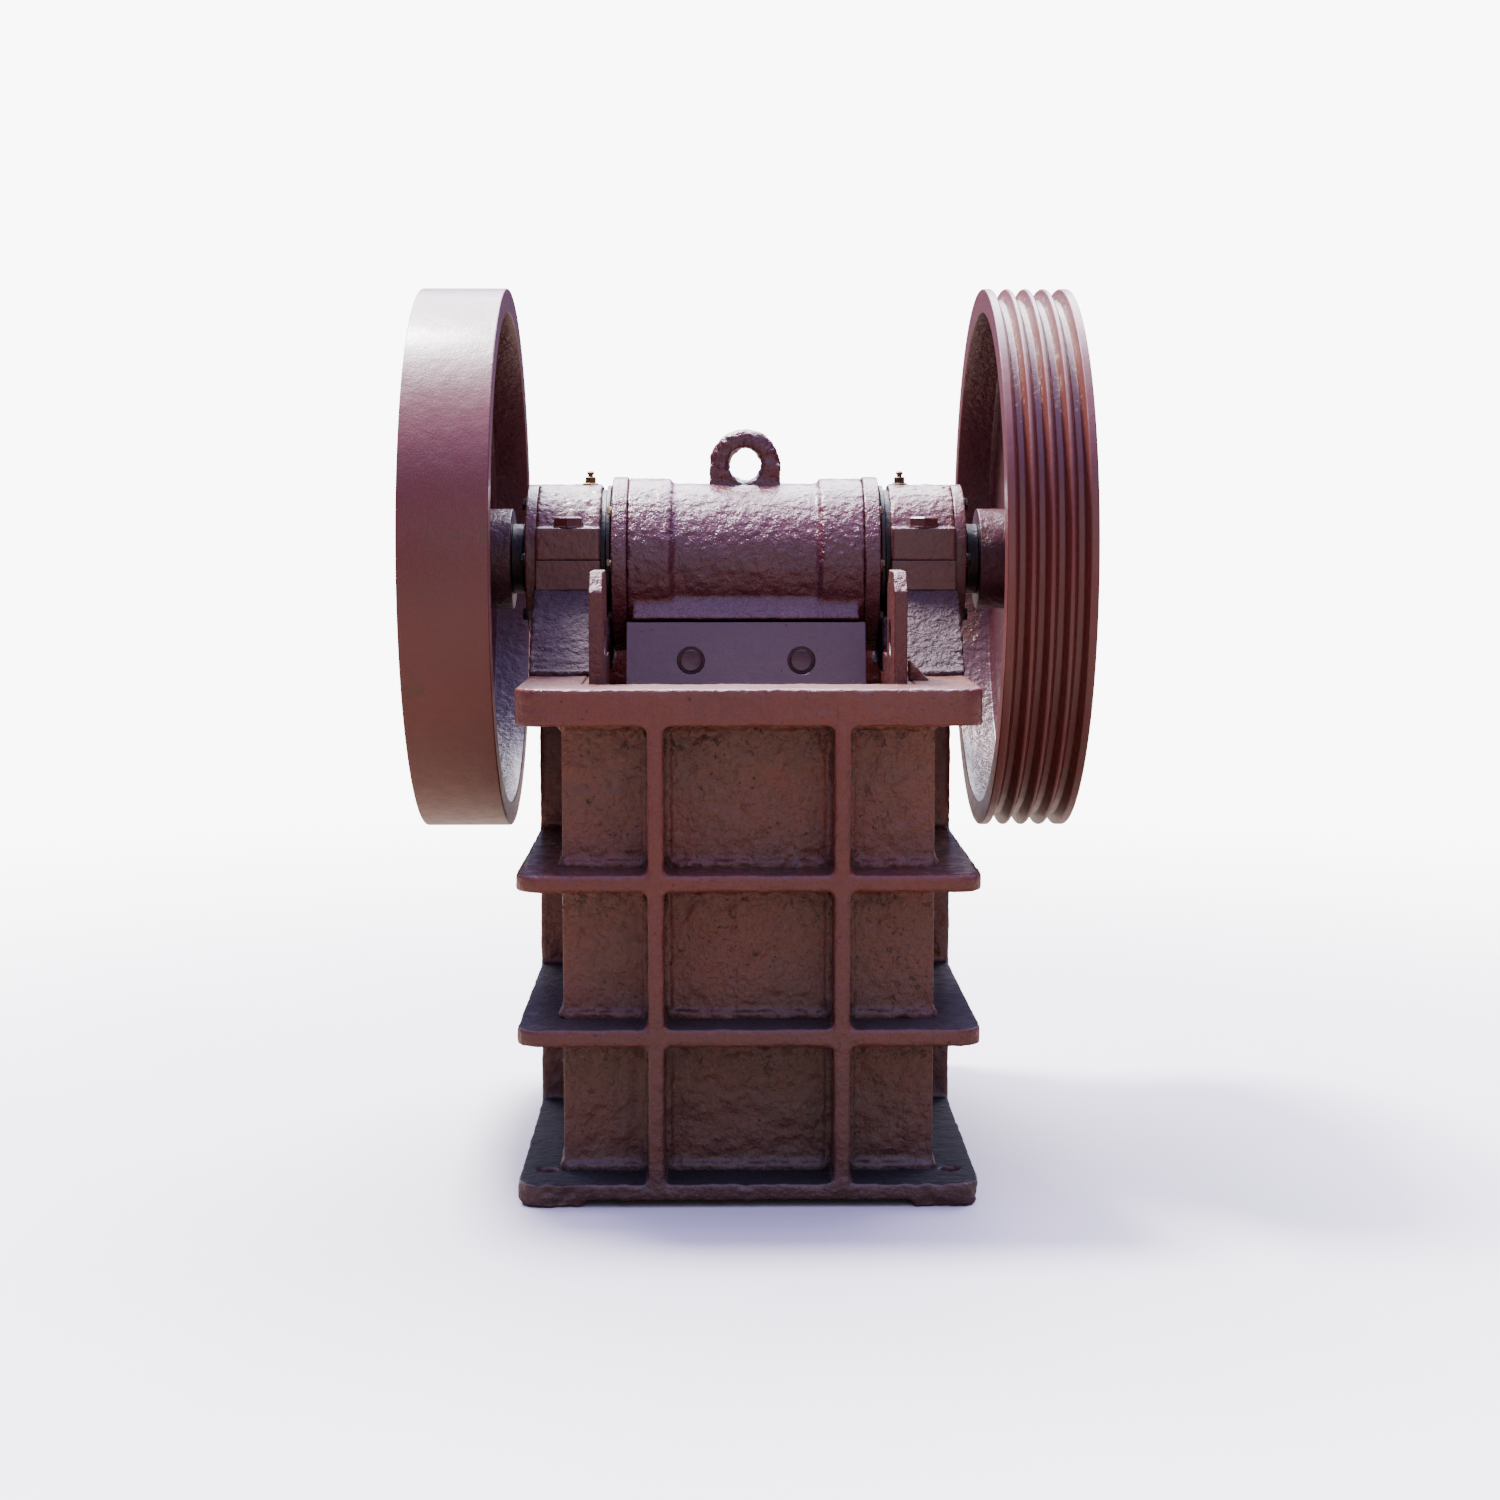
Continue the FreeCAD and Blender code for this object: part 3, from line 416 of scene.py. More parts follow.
def wheel_enamel(name, coat_tone, chips_and_glints):
    """Enamel on a turned wheel: smooth on the tread, rough cast inside the rim, where it is painted
    dark purple as painted shade.
    """
    made = Finish(name)
    centred = made.add("Mapping", None, {"Vector": made.place,
                                         "Location": (0, -SHAFT.y, -SHAFT.z)})
    radial = made.add("VectorMath", {"operation": "MULTIPLY"}, {0: centred, 1: (0, 1, 1)})
    radius = made.add("VectorMath", {"operation": "LENGTH"}, {0: radial}, "Value")
    inside = made.ramp(radius, 0.2745, 0.2715)
    sweep = made.noise(6, 4, 0.6)
    mottle = made.ramp(made.noise(60, 5, 0.65), 0.36, 0.68)
    colour = made.blend(made.ramp(sweep, 0.35, 0.65) * 0.5 + mottle * 0.2,
                        coat_tone, shade(96, 54, 50))
    # Painted shade: the inside of the rim is painted dark purple, like shade under a blue sky.
    colour = made.blend(inside * 0.7, colour, shade(66, 38, 48))
    speck = made.ramp(made.noise(230, 3, 0.65), 0.60, 0.68) * inside
    colour = made.blend(speck, colour, shade(40, 30, 34))

    scar = made.ramp(made.noise(150, 4, 0.7) * made.ramp(made.noise(8, 2), 0.52, 0.66), 0.38, 0.44)
    colour = made.blend(scar * 0.8, colour, RUST)
    # Pale flecks on the groove bottoms, only on the upper grooves at rest: chipped paint and painted
    # glints.
    bottom = made.ramp(radius, 0.2940, 0.2910) * made.ramp(radius, 0.2830, 0.2860)
    across = made.add("SeparateXYZ", None, {0: made.place}, "X")
    grooved = made.ramp(across, 0.264, 0.268) * made.ramp(across, 0.3525, 0.3495)
    upper = made.ramp(made.height(), 0.74, 0.84) * grooved
    fleck_and_glint = bottom * made.ramp(made.noise(190, 4, 0.7) + upper * 0.08, 0.62, 0.67) * chips_and_glints * upper
    rusty = made.ramp(made.noise(40, 3), 0.45, 0.62)
    colour = made.blend(fleck_and_glint, colour, made.blend(rusty, PALE_CHIP_AND_GLINT, RUSTY_CHIP_AND_GLINT))

    normal = made.bump(made.noise(110, 4, 0.6) * inside, 2.2 * MM, 0.9)
    normal = made.bump(made.noise(48, 4, 0.6), 1.5 * MM, 0.5, normal)
    normal = made.bump(made.noise(420, 3, 0.6) - scar - fleck_and_glint, 0.35 * MM, 0.6, normal)
    return made.finish(Base_Color=colour, Normal=normal, IOR=1.5, Coat_Weight=0.3,
                       Roughness=0.36 + mottle * 0.08 + fleck_and_glint * 0.3 - inside * 0.06,
                       Coat_Roughness=0.2)


def bare(name, tone, worn_tone, roughness, metallic, grain=0.4):
    """Bare or greasy metal: streaked, smeared with grease and rusted in its low spots."""
    made = Finish(name)
    smear = made.ramp(made.noise(40, 5, 0.65), 0.4, 0.65)
    rust = made.ramp(made.noise(24, 6, 0.7), 0.52, 0.68)
    colour = made.blend(smear, tone, worn_tone)
    colour = made.blend(rust * 0.6, colour, shade(88, 52, 34))
    gloss = roughness + smear * 0.18 + rust * 0.25
    normal = made.bump(made.noise(160, 4, 0.6), 1.0 * MM * grain, 0.7)
    normal = made.bump(made.noise(900, 2), 0.2 * MM, 0.6, normal)
    return made.finish(Base_Color=colour, Roughness=gloss, Normal=normal,
                       Metallic=metallic * (1 - rust * 0.8))


MATERIALS = {
    "frame": enamel("red_oxide_enamel_on_casting", shade(116, 52, 40), shade(102, 50, 40)),
    "panel": enamel("thin_enamel_on_rough_panels", shade(128, 69, 53), shade(106, 73, 58),
                    roughness=0.36, pits=1.8, grain=1.5, dirt_and_crevice_shade=0.7, scabs=1),
    # The pedestal tone is darkened as painted shade on both pedestals.
    "pedestal": enamel("enamel_on_crumbly_casting", shade(78, 45, 52), shade(66, 45, 56),
                       roughness=0.50, pits=2.2, grain=1.4, dirt_and_crevice_shade=1.0, coat=0.05, crumb_scale=110),
    "lug": enamel("enamel_on_the_cheek_lugs", shade(92, 44, 38), shade(84, 42, 38), coat=0.15),
    "jaw": enamel("maroon_enamel_on_jaw_casting", shade(100, 46, 51), shade(88, 46, 55),
                  roughness=0.25, pits=0.6, grain=0.8, dirt_and_crevice_shade=0.4, crumb_scale=110),
    "machined": enamel("enamel_on_machined_faces", shade(100, 46, 42), shade(86, 44, 44),
                       roughness=0.32, pits=0.5, grain=0.6, dirt_and_crevice_shade=0.4),
    # The clamp's violet tone is partly its paint and partly a painted reflection of the violet sky.
    "clamp": enamel("violet_enamel_on_the_clamp_plate", shade(100, 64, 80), shade(94, 62, 76),
                    roughness=0.36, pits=0.1, grain=0.15, dirt_and_crevice_shade=0.2),
    "wheel": wheel_enamel("enamel_on_the_flywheel", shade(108, 48, 44), 0),
    "pulley": wheel_enamel("chipped_enamel_on_the_grooved_wheel", shade(108, 48, 42), 1),
    "greased": bare("black_grease_on_steel", shade(22, 20, 22), shade(40, 34, 32), 0.34, 0.2,
                    grain=1.2),
    "steel": bare("dull_oiled_steel", shade(120, 112, 104), shade(84, 74, 66), 0.42, 0.85),
    "brass": bare("weathered_brass", shade(128, 108, 72), shade(78, 68, 52), 0.42, 0.7),
    "manganese": bare("cast_manganese_steel", shade(104, 96, 90), shade(84, 66, 56), 0.5, 0.55,
                      grain=1.5),
}


def paint(item, finish):
    item.data.materials.clear()
    item.data.materials.append(MATERIALS[finish])


def show(item, finish, body, slot, *nodes):
    """Finish a piece: its material, its body and the nodes it stands for; slot is not used."""
    paint(item, finish)
    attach(item, body)
    if nodes:
        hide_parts(*nodes)
    return item


# ---- the cast frame ---------------------------------------------------------------------

SKIN = 1.2 * MM             # how far a rough skin stands out of its wall
BURIED = 2.5 * MM           # how far a joined shape reaches into its neighbour
COVE = 6 * MM               # radius of the fillets between walls, ribs and bands
BAND_VOXEL, PANEL_VOXEL, PEDESTAL_VOXEL, CAP_VOXEL, JAW_VOXEL = 3.2, 2.8, 2.4, 2.0, 2.8
LIP_HALF_LENGTH = 158 * MM
LIP_THICKNESS = 15 * MM
LIP_HEIGHT = 30 * MM
BOSS_HALF_LENGTH = 100 * MM
BOSS_THICKNESS = 11.5 * MM
BOSS_HEIGHT = 58 * MM


def cove(name, x, y, z, corner):
    """A bar whose one long edge, nearest the given corner, is hollowed to a fillet."""
    bar = block(name, x, y, z)
    edit(bar, "EDGE")
    near = Vector(corner)
    points = bar.data.vertices
    closest = min((vertex.co - near).length for vertex in points)
    first = next(vertex for vertex in points if (vertex.co - near).length < closest + 1e-7)
    long_axis = max(range(3), key=lambda axis: (x, y, z)[axis][1] - (x, y, z)[axis][0])

    def hollowed(edge):
        ends = [points[index].co for index in edge.vertices]
        along = ends[1] - ends[0]
        if abs(along[long_axis]) < along.length * 0.99:
            return False
        return all(abs(end[axis] - first.co[axis]) < 1e-6
                   for end in ends for axis in range(3) if axis != long_axis)

    pick(bar, "edges", hollowed)
    bpy.ops.mesh.bevel(offset=COVE - 0.2 * MM, segments=6, profile=0.13)
    leave()
    return bar


def rotated(points, turned):
    """Swap X and Y of three coordinate pairs for a side wall."""
    return (points[1], points[0], points[2]) if turned else points


def bay_skin(name, across, height, outward, face, turned, closed):
    """One wall bay: a thin rough skin with fillets to the ribs and bands round it.

    across and height are the bay's limits, face is the wall's coordinate and outward its
    direction; closed says on which of the two sides across a rib stands.
    """
    low, high = across
    bottom, top = height
    depth = sorted((face - outward * BURIED, face + outward * SKIN))
    wide = (low - (BURIED if closed[0] else SKIN), high + (BURIED if closed[1] else SKIN))
    pieces = [block(name, *rotated((wide, depth, (bottom - BURIED, top + BURIED)), turned))]
    reach = sorted((face - outward * BURIED, face + outward * COVE))
    tip = face + outward * COVE
    bars = [((low, high), (bottom - BURIED, bottom + COVE), (low, tip, bottom + COVE)),
            ((low, high), (top - COVE, top + BURIED), (low, tip, top - COVE))]
    if closed[0]:
        bars.append(((low - BURIED, low + COVE), (bottom, top), (low + COVE, tip, bottom)))
    if closed[1]:
        bars.append(((high - COVE, high + BURIED), (bottom, top), (high - COVE, tip, bottom)))
    for wide, tall, corner in bars:
        if turned:
            corner = (corner[1], corner[0], corner[2])
        pieces.append(cove(name, *rotated((wide, reach, tall), turned), corner))
    return pieces


def wall_skins():
    """The rough panels between the ribs and bands, on all four sides of the frame."""
    rib_inner = RIB_OUTER - RIB_THICKNESS
    columns = [((-WALL_X, -RIB_OUTER), (False, True)), ((-rib_inner, rib_inner), (True, True)),
               ((RIB_OUTER, WALL_X), (True, False))]
    for label, outward in (("front", -1), ("rear", 1)):
        pieces = []
        for across, closed in columns:
            for height in BAYS:
                pieces += bay_skin("bay", across, height, outward, outward * WALL_Y, False, closed)
        finish_skin(join(pieces, f"{label}_panels"))
    columns = [((-WALL_Y, SIDE_RIB[0]), (False, True)), ((SIDE_RIB[1], WALL_Y), (True, False))]
    for label, outward in SIDES:
        pieces = []
        for across, closed in columns:
            for height in BAYS:
                pieces += bay_skin("bay", across, height, outward, outward * WALL_X, True, closed)
        finish_skin(join(pieces, f"{label}_panels"))


def finish_skin(skin):
    """Cast a skin rough, crumblier under each band and straight at the wall's corners."""
    cast_over(skin, PANEL_VOXEL)
    straight_edge, crumbly_strip = 16 * MM, 36 * MM
    rough = skin.vertex_groups.new(name="rough")
    crumbly = skin.vertex_groups.new(name="crumbly")
    for vertex in skin.data.vertices:
        inset = max(WALL_X - abs(vertex.co.x), WALL_Y - abs(vertex.co.y))
        straight = min(1.0, max(0.12, inset / straight_edge))
        above = min(abs(top - vertex.co.z) for _, top in BAYS)
        rough.add([vertex.index], straight, "REPLACE")
        crumbly.add([vertex.index], straight * max(0.0, 1 - above / crumbly_strip), "REPLACE")
    lumps(skin, 26, 3.4, "rough")
    lumps(skin, 9, 2.4, "rough")
    lumps(skin, 12, 11.0, "crumbly")
    show(skin, "panel", "frame", "cast_frame")


def bands_and_ribs():
    """The four bands and the ribs that cross them, grown together as one casting.

    It is parted inside the side ribs into a front and a rear piece.
    """
    bands = ("base_flange", "lower_shelf", "upper_shelf", "top_flange")
    parts = [from_node(node, "bands") for node in bands]
    rib_columns = [sorted((side * (RIB_OUTER - RIB_THICKNESS), side * RIB_OUTER))
                   for side in (-1, 1)]
    for bottom, top in BAYS:
        height = (bottom - RIB_SUNK, top + RIB_SUNK)
        for outward in (-1, 1):
            reach = sorted((outward * (WALL_Y - 2 * MM), outward * SHELF_Y))
            parts += [block("rib", column, reach, height) for column in rib_columns]
            reach = sorted((outward * (WALL_X - 2 * MM), outward * SHELF_X))
            parts.append(block("rib", reach, SIDE_RIB, height))
    flange_top = spans("top_flange")[2][1]
    parts.append(block("rear_lip", (-LIP_HALF_LENGTH, LIP_HALF_LENGTH),
                       (WALL_Y - LIP_THICKNESS, WALL_Y),
                       (flange_top - 3 * MM, flange_top + LIP_HEIGHT)))
    whole = cast_over(join(parts, "frame_bands_front"), BAND_VOXEL, relief=((32, 1.8), (8, 1.0)))
    crumble_feet(whole)
    keep_inside(whole)
    parting = sum(SIDE_RIB) / 2
    edit(whole, "FACE")
    pick(whole, "polygons", lambda face: face.center.y > parting)
    bpy.ops.mesh.separate(type="SELECTED")
    leave()
    rear = next(item for item in bpy.context.selected_objects if item != whole)
    rear.name = rear.data.name = "frame_bands_rear"
    show(whole, "frame", "frame", "cast_frame", *bands, "front_ribs", "side_ribs_left",
         "side_ribs_right")
    show(rear, "frame", "frame", "cast_frame", "rear_ribs")


def crumble_feet(item):
    """Break the corners and rim of the base, where the casting is at its roughest."""
    top = spans("base_flange")[2][1]
    rim_width = 14 * MM
    group = item.vertex_groups.new(name="feet")
    for vertex in item.data.vertices:
        if vertex.co.z < top + 2 * MM:
            rim = max(abs(vertex.co.x) - SHELF_X, abs(vertex.co.y) - SHELF_Y) / rim_width + 1
            beside = max(0.0, min(1.0, (abs(vertex.co.x) - 0.13) / 0.06))
            corner = beside * max(0.0, min(1.0, (abs(vertex.co.y) - SHELF_Y + 0.07) / 0.05))
            plain = 0.15 if abs(vertex.co.y) < WALL_Y else 0.4
            group.add([vertex.index], max(0.0, rim) * max(plain, corner), "REPLACE")
    lumps(item, 21, 12.0, group="feet")
    lumps(item, 9, 4.0, group="feet")


def keep_inside(item):
    """Press back whatever stands out of the frame's own box."""
    for vertex in item.data.vertices:
        vertex.co.x = min(max(vertex.co.x, -SHELF_X - 0.4 * MM), SHELF_X + 0.4 * MM)
        vertex.co.y = min(max(vertex.co.y, -SHELF_Y), SHELF_Y)
        vertex.co.z = max(vertex.co.z, 0.0)


def walls():
    for node in ("front_wall", "rear_wall", "side_wall_left", "side_wall_right"):
        paint(frame["nodes"][node], "panel")


def pedestals():
    """Crumbly castings under the bearings, filleted to the top flange."""
    for side, sign in SIDES:
        node = f"bearing_pedestal_{side}"
        x, y, z = spans(node)
        body = from_node(node, f"{node}_casting")
        outside = x[1] if sign > 0 else x[0]
        edit(body, "FACE")
        pick(body, "polygons", lambda face: abs(face.center.x - outside) < 0.1 * MM)
        bpy.ops.transform.translate(value=(sign * (SHELF_X - abs(outside)), 0, 0))
        leave()
        foot = (z[0] - BURIED, z[0] + COVE)
        front = cove("foot", x, (y[0] - COVE, y[0] + BURIED), foot,
                     (x[0], y[0] - COVE, z[0] + COVE))
        rear = cove("foot", x, (y[1] - BURIED, y[1] + COVE), foot,
                    (x[0], y[1] + COVE, z[0] + COVE))
        inside = x[0] if sign > 0 else x[1]
        boss = block("boss", sorted((inside - sign * BOSS_THICKNESS, inside + sign * 4 * MM)),
                     (SHAFT.y - BOSS_HALF_LENGTH, SHAFT.y + BOSS_HALF_LENGTH),
                     (z[0] - BURIED, z[0] + BOSS_HEIGHT))
        body = join([body, front, rear, boss], f"{node}_casting")
        cast_over(body, PEDESTAL_VOXEL)
        group = body.vertex_groups.new(name="crumble")
        rim = 16 * MM
        for vertex in body.data.vertices:
            nearest = min(vertex.co.x - x[0], x[1] - vertex.co.x, vertex.co.z - z[0])
            group.add([vertex.index], 0.3 + 0.7 * max(0.0, 1 - nearest / rim), "REPLACE")
        lumps(body, 13, 4.5, group=group.name)
        lumps(body, 6, 2.4, group=group.name)
        show(body, "pedestal", "frame", "cast_frame", node)


def gusset():
    """The small rough slanting rib outside the right cheek lug."""
    x, y, _ = spans("cheek_plate_right")
    foot = spans("top_flange")[2][1]
    reach = x[1] + 19 * MM
    rib = block("gusset", (x[1] - 2 * MM, reach), (y[0] + 52 * MM, y[0] + 64 * MM),
                (foot - 2 * MM, foot + 46 * MM))
    edit(rib, "FACE")
    bpy.ops.mesh.select_all(action="SELECT")
    bpy.ops.mesh.bisect(plane_co=(reach, 0, foot + 1 * MM), plane_no=(46, 0, 17),
                        use_fill=True, clear_outer=True)
    leave()
    cast_over(rib, 1.6, rounds=2, relief=((9, 3), (4, 1.5)))
    show(rib, "frame", "frame", "cast_frame")


# ---- bearing housings --------------------------------------------------------------------

BOLT_ACROSS = 30 * MM
BOLT_HEIGHT = 12 * MM
EAR_HEIGHT = 35.5 * MM
EAR_BOLT_INSET = 16 * MM
SCREW_ACROSS = 13 * MM
SCREW_HEIGHT = 5.5 * MM
COVER_SCREW_CIRCLE = 70 * MM
JAW_SCREW_CIRCLE = 81 * MM
NIPPLE_X = 173 * MM
NIPPLE_SCALE = 1.25 * MM
SEAL_RADIUS = 82 * MM
SEAL_START = 149 * MM
SEAL_END = 159.5 * MM


def hex_head(name, across, height):
    """A hexagon head with its corners turned off and a washer face under it."""
    corner = across / math.sqrt(3)
    head = lathe(name, [(0, corner), (height * 0.86, corner), (height, corner * 0.86)], 6)
    washer = lathe(name, [(-0.1 * MM, across * 0.56), (1.6 * MM, across * 0.56),
                          (2.0 * MM, across * 0.54)], 32)
    item = join([head, washer], name)
    eased(item, 0.5)
    return item


def bearing_housings():
    for side, sign in SIDES:
        node = f"bearing_cap_{side}"
        x, y, z = spans(node)
        cap = cast_over(from_node(node, f"{node}_casting"), CAP_VOXEL)
        ear_top = z[0] + EAR_HEIGHT
        group = cap.vertex_groups.new(name="dome")
        for vertex in cap.data.vertices:
            height = (vertex.co.z - ear_top) / (3 * MM)
            if height > 0:
                group.add([vertex.index], min(1.0, height), "REPLACE")
        lumps(cap, 12, 2.6, group="dome")
        lumps(cap, 4.5, 1.4, group="dome")
        show(cap, "machined", "frame", "machined_enamel", node)
        seat = from_node(f"bearing_seat_{side}", f"bearing_seat_{side}_casting")
        eased(seat, 1.2)
        show(seat, "machined", "frame", "machined_enamel", f"bearing_seat_{side}")
        cover = from_node(f"bearing_cover_{side}", f"bearing_cover_{side}_plate")
        eased(cover, 1.6, 3)
        show(cover, "machined", "frame", "machined_enamel", f"bearing_cover_{side}")

        middle = sum(x) / 2
        bolts = [stand("+z", (middle, y[0] + EAR_BOLT_INSET, ear_top)),
                 stand("+z", (middle, y[1] - EAR_BOLT_INSET, ear_top))]
        heads = copies(hex_head("bolt", BOLT_ACROSS, BOLT_HEIGHT), f"cap_bolts_{side}", bolts)
        show(heads, "machined", "frame", "machined_enamel")

        out = spans(f"bearing_cover_{side}")[0][0 if sign < 0 else 1]
        circle = bolt_circle(out, SHAFT, COVER_SCREW_CIRCLE, 6, 30, sign)
        screws = copies(hex_head("screw", SCREW_ACROSS, SCREW_HEIGHT), f"cover_screws_{side}",
                        circle)
        show(screws, "greased", "frame", "greased_steel")
        nipple(side, sign * NIPPLE_X, z[1])
        seal_ring(side, sign)


def seal_ring(side, sign):
    """The black greasy ring that closes the gap between a bearing housing and the jaw."""
    inner = SEAL_RADIUS - 5 * MM
    disc = lathe("ring", [(0, SEAL_RADIUS), (4 * MM, SEAL_RADIUS), (5 * MM, inner),
                          (SEAL_END - SEAL_START, inner)], 72)
    eased(disc, 0.6)
    ring = copies(disc, f"seal_ring_{side}",
                  [stand("+x" if sign > 0 else "-x", (sign * SEAL_START, SHAFT.y, SHAFT.z))])
    show(ring, "greased", "frame", "greased_steel")


def bolt_circle(x, axis, radius, count, first, sign):
    """Places for bolts round the shaft on a face that looks out along X."""
    places = []
    for index in range(count):
        angle = math.radians(first + 360 * index / count)
        point = (x, axis.y + radius * math.sin(angle), axis.z + radius * math.cos(angle))
        places.append(stand("+x" if sign > 0 else "-x", point))
    return places


def nipple(side, x, z):
    """A grease nipple in a boss on a bearing cap, turned in millimetres and then scaled."""
    boss = lathe("boss", [(-4, 8), (0.6, 7.4), (1.6, 5.6)], 24)
    hexagon = lathe("hexagon", [(1, 5.2), (6.2, 5.2), (6.8, 4.5)], 6)
    ball = lathe("ball", [(6, 2.3), (8.6, 2.1), (9.4, 3.1), (10.6, 3.3), (11.6, 2.4), (12, 1.2)],
                 20)
    item = join([boss, hexagon, ball], "nipple")
    activate(item)
    item.scale = (NIPPLE_SCALE, NIPPLE_SCALE, NIPPLE_SCALE)
    settle(item)
    item = copies(item, f"grease_nipple_{side}", [stand("+z", (x, SHAFT.y, z))])
    smooth(item)
    show(item, "brass", "frame", "bare_steel")


# ---- crushing chamber -----------------------------------------------------------------------


def chamber():
    for side, _ in SIDES:
        plate = from_node(f"cheek_plate_{side}", f"cheek_plate_{side}_liner")
        eased(plate, 1.6, 3)
        show(plate, "lug", "frame", "cast_frame", f"cheek_plate_{side}")
    for node, body in (("fixed_jaw_plate", "frame"), ("moving_jaw_plate", "swing_jaw")):
        plate = from_node(node, f"{node}_teeth")
        eased(plate, 1.8, 3)
        show(plate, "manganese", body, "wear_steel", node)
    for node, finish, slot in (("adjusting_block", "frame", "cast_frame"),
                               ("toggle_plate", "manganese", "wear_steel")):
        piece = from_node(node, f"{node}_casting")
        eased(piece, 1.5, 3)
        show(piece, finish, "frame", slot, node)


# ---- swing jaw --------------------------------------------------------------------------------


def jaw():
    body = cast_over(from_node("swing_jaw", "swing_jaw_casting"), JAW_VOXEL,
                     relief=((19, 1.8), (6.5, 1.7)))
    show(body, "jaw", "swing_jaw", "cast_jaw", "swing_jaw")
    for side, sign in SIDES:
        node = f"jaw_cover_{side}"
        cover = from_node(node, f"{node}_plate")
        eased(cover, 2.0, 3)
        show(cover, "jaw", "swing_jaw", "machined_enamel", node)
        out = spans(node)[0][0 if sign < 0 else 1]
        circle = bolt_circle(out, JAW_AXIS, JAW_SCREW_CIRCLE, 8, 0, sign)
        screws = copies(hex_head("screw", SCREW_ACROSS, SCREW_HEIGHT), f"jaw_cover_screws_{side}",
                        circle)
        show(screws, "brass", "swing_jaw", "bare_steel")
    eye()
    clamp = from_node("jaw_clamp", "jaw_clamp_plate")
    eased(clamp, 1.3)
    show(clamp, "clamp", "swing_jaw", "machined_enamel", "jaw_clamp")
    clamp_bolts()
    for node in ("jaw_toggle_seat", "jaw_rod_lug"):
        piece = from_node(node, f"{node}_casting")
        eased(piece, 1.2)
        show(piece, "frame", "swing_jaw", "cast_jaw", node)


def eye():
    """The lifting eye: a thick lumpy ring whose hole flares to a rough mouth on both sides."""
    x, y, z = spans("lifting_eye")
    radius = (x[1] - x[0]) / 2
    middle, centre = sum(y) / 2, z[1] - radius
    half = (y[1] - y[0]) / 2
    worn = 5 * MM
    ring = lathe("ring", [(-half, radius - worn), (worn - half, radius),
                          (half - worn, radius), (half, radius - worn)], 64)
    ring = copies(ring, "ring", [stand("+y", (0, middle, centre))])
    stem = block("stem", x, y, (z[0] - 3 * MM, centre))
    foot = block("foot", (x[0] - 3 * MM, x[1] + 3 * MM), (y[0] - 4 * MM, y[1] + 4 * MM),
                 (z[0] - 4 * MM, centre - 25 * MM))
    item = join([ring, stem, foot], "lifting_eye_casting")
    apply(item, "REMESH", mode="VOXEL", voxel_size=1.5 * MM)
    mouth, throat, waist = 27 * MM, 19 * MM, 17.5 * MM
    bore = lathe("bore", [(-half - 6 * MM, mouth), (3 * MM - half, throat), (0, waist),
                          (half - 3 * MM, throat), (half + 6 * MM, mouth)], 48)
    bore = copies(bore, "bore", [stand("+y", (0, middle, centre))])
    apply(item, "BOOLEAN", object=bore, operation="DIFFERENCE", solver="EXACT")
    bpy.data.objects.remove(bore)
    cast_over(item, 1.5, rounds=4, relief=((17, 5.0), (7, 2.6)))
    show(item, "jaw", "swing_jaw", "cast_jaw", "lifting_eye")


def clamp_bolts():
    """Round-headed bolts sunk in the clamp's counterbores."""
    out, face, height = 60 * MM, -66.5 * MM, 531 * MM
    places = [stand("-y", (sign * out, face, height)) for _, sign in SIDES]
    head = lathe("bolt", [(-18 * MM, 11.6 * MM), (-0.8 * MM, 11.6 * MM), (0, 10.8 * MM)], 48)
    edit(head, "FACE")
    pick(head, "polygons", lambda face: face.normal.z > 0.99)
    bpy.ops.mesh.inset(thickness=5.2 * MM)
    bpy.ops.transform.translate(value=(0, 0, -0.6 * MM))
    leave()
    smooth(head, 20)
    heads = copies(head, "clamp_bolts", places)
    show(heads, "clamp", "swing_jaw", "machined_enamel")


# ---- toggle rod and spring ------------------------------------------------------------------------


def tension_gear():
    for node in ("tension_rod", "spring_washers"):
        piece = from_node(node, f"{node}_turned")
        eased(piece, 0.8)
        show(piece, "steel", "frame", "bare_steel", node)
    rod_z = sum(spans("tension_spring")[2]) / 2
    start, end = spans("tension_spring")[1]
    outer = spans("tension_spring")[0][1]
    wire, turns = 4.6 * MM, 8
    deselect()
    bpy.ops.mesh.primitive_circle_add(vertices=14, radius=wire, fill_type="NGON",
                                      location=(outer - wire, 0, 0))
    spring = named("spring")
    settle(spring)
    pitch = (end - start - 2 * wire) / turns
    apply(spring, "SCREW", axis="Y", angle=math.tau, screw_offset=pitch, iterations=turns,
          steps=40, render_steps=40, use_normal_calculate=True, use_smooth_shade=True)
    close_ends(spring)
    spring = copies(spring, "tension_spring_coil",
                    [Matrix.Translation((0, start + wire, rod_z))])
    smooth(spring, 60)
    show(spring, "steel", "frame", "bare_steel", "tension_spring")
    nut_places = [stand("+y", (0, spans("spring_washers")[1][1] + offset, rod_z), 15)
                  for offset in (2 * MM, 18 * MM)]
    nuts = copies(hex_head("nut", 27 * MM, 14 * MM), "rod_nuts", nut_places)
    show(nuts, "steel", "frame", "bare_steel")


def close_ends(item):
    """Fill what is open, merge doubles and point the faces outwards."""
    edit(item)
    bpy.ops.mesh.select_all(action="SELECT")
    bpy.ops.mesh.remove_doubles(threshold=0.01 * MM)
    bpy.ops.mesh.select_all(action="DESELECT")
    bpy.ops.mesh.select_non_manifold()
    bpy.ops.mesh.edge_face_add()
    bpy.ops.mesh.select_all(action="SELECT")
    bpy.ops.mesh.normals_make_consistent(inside=False)
    leave()


# ---- rotor -----------------------------------------------------------------------------------------


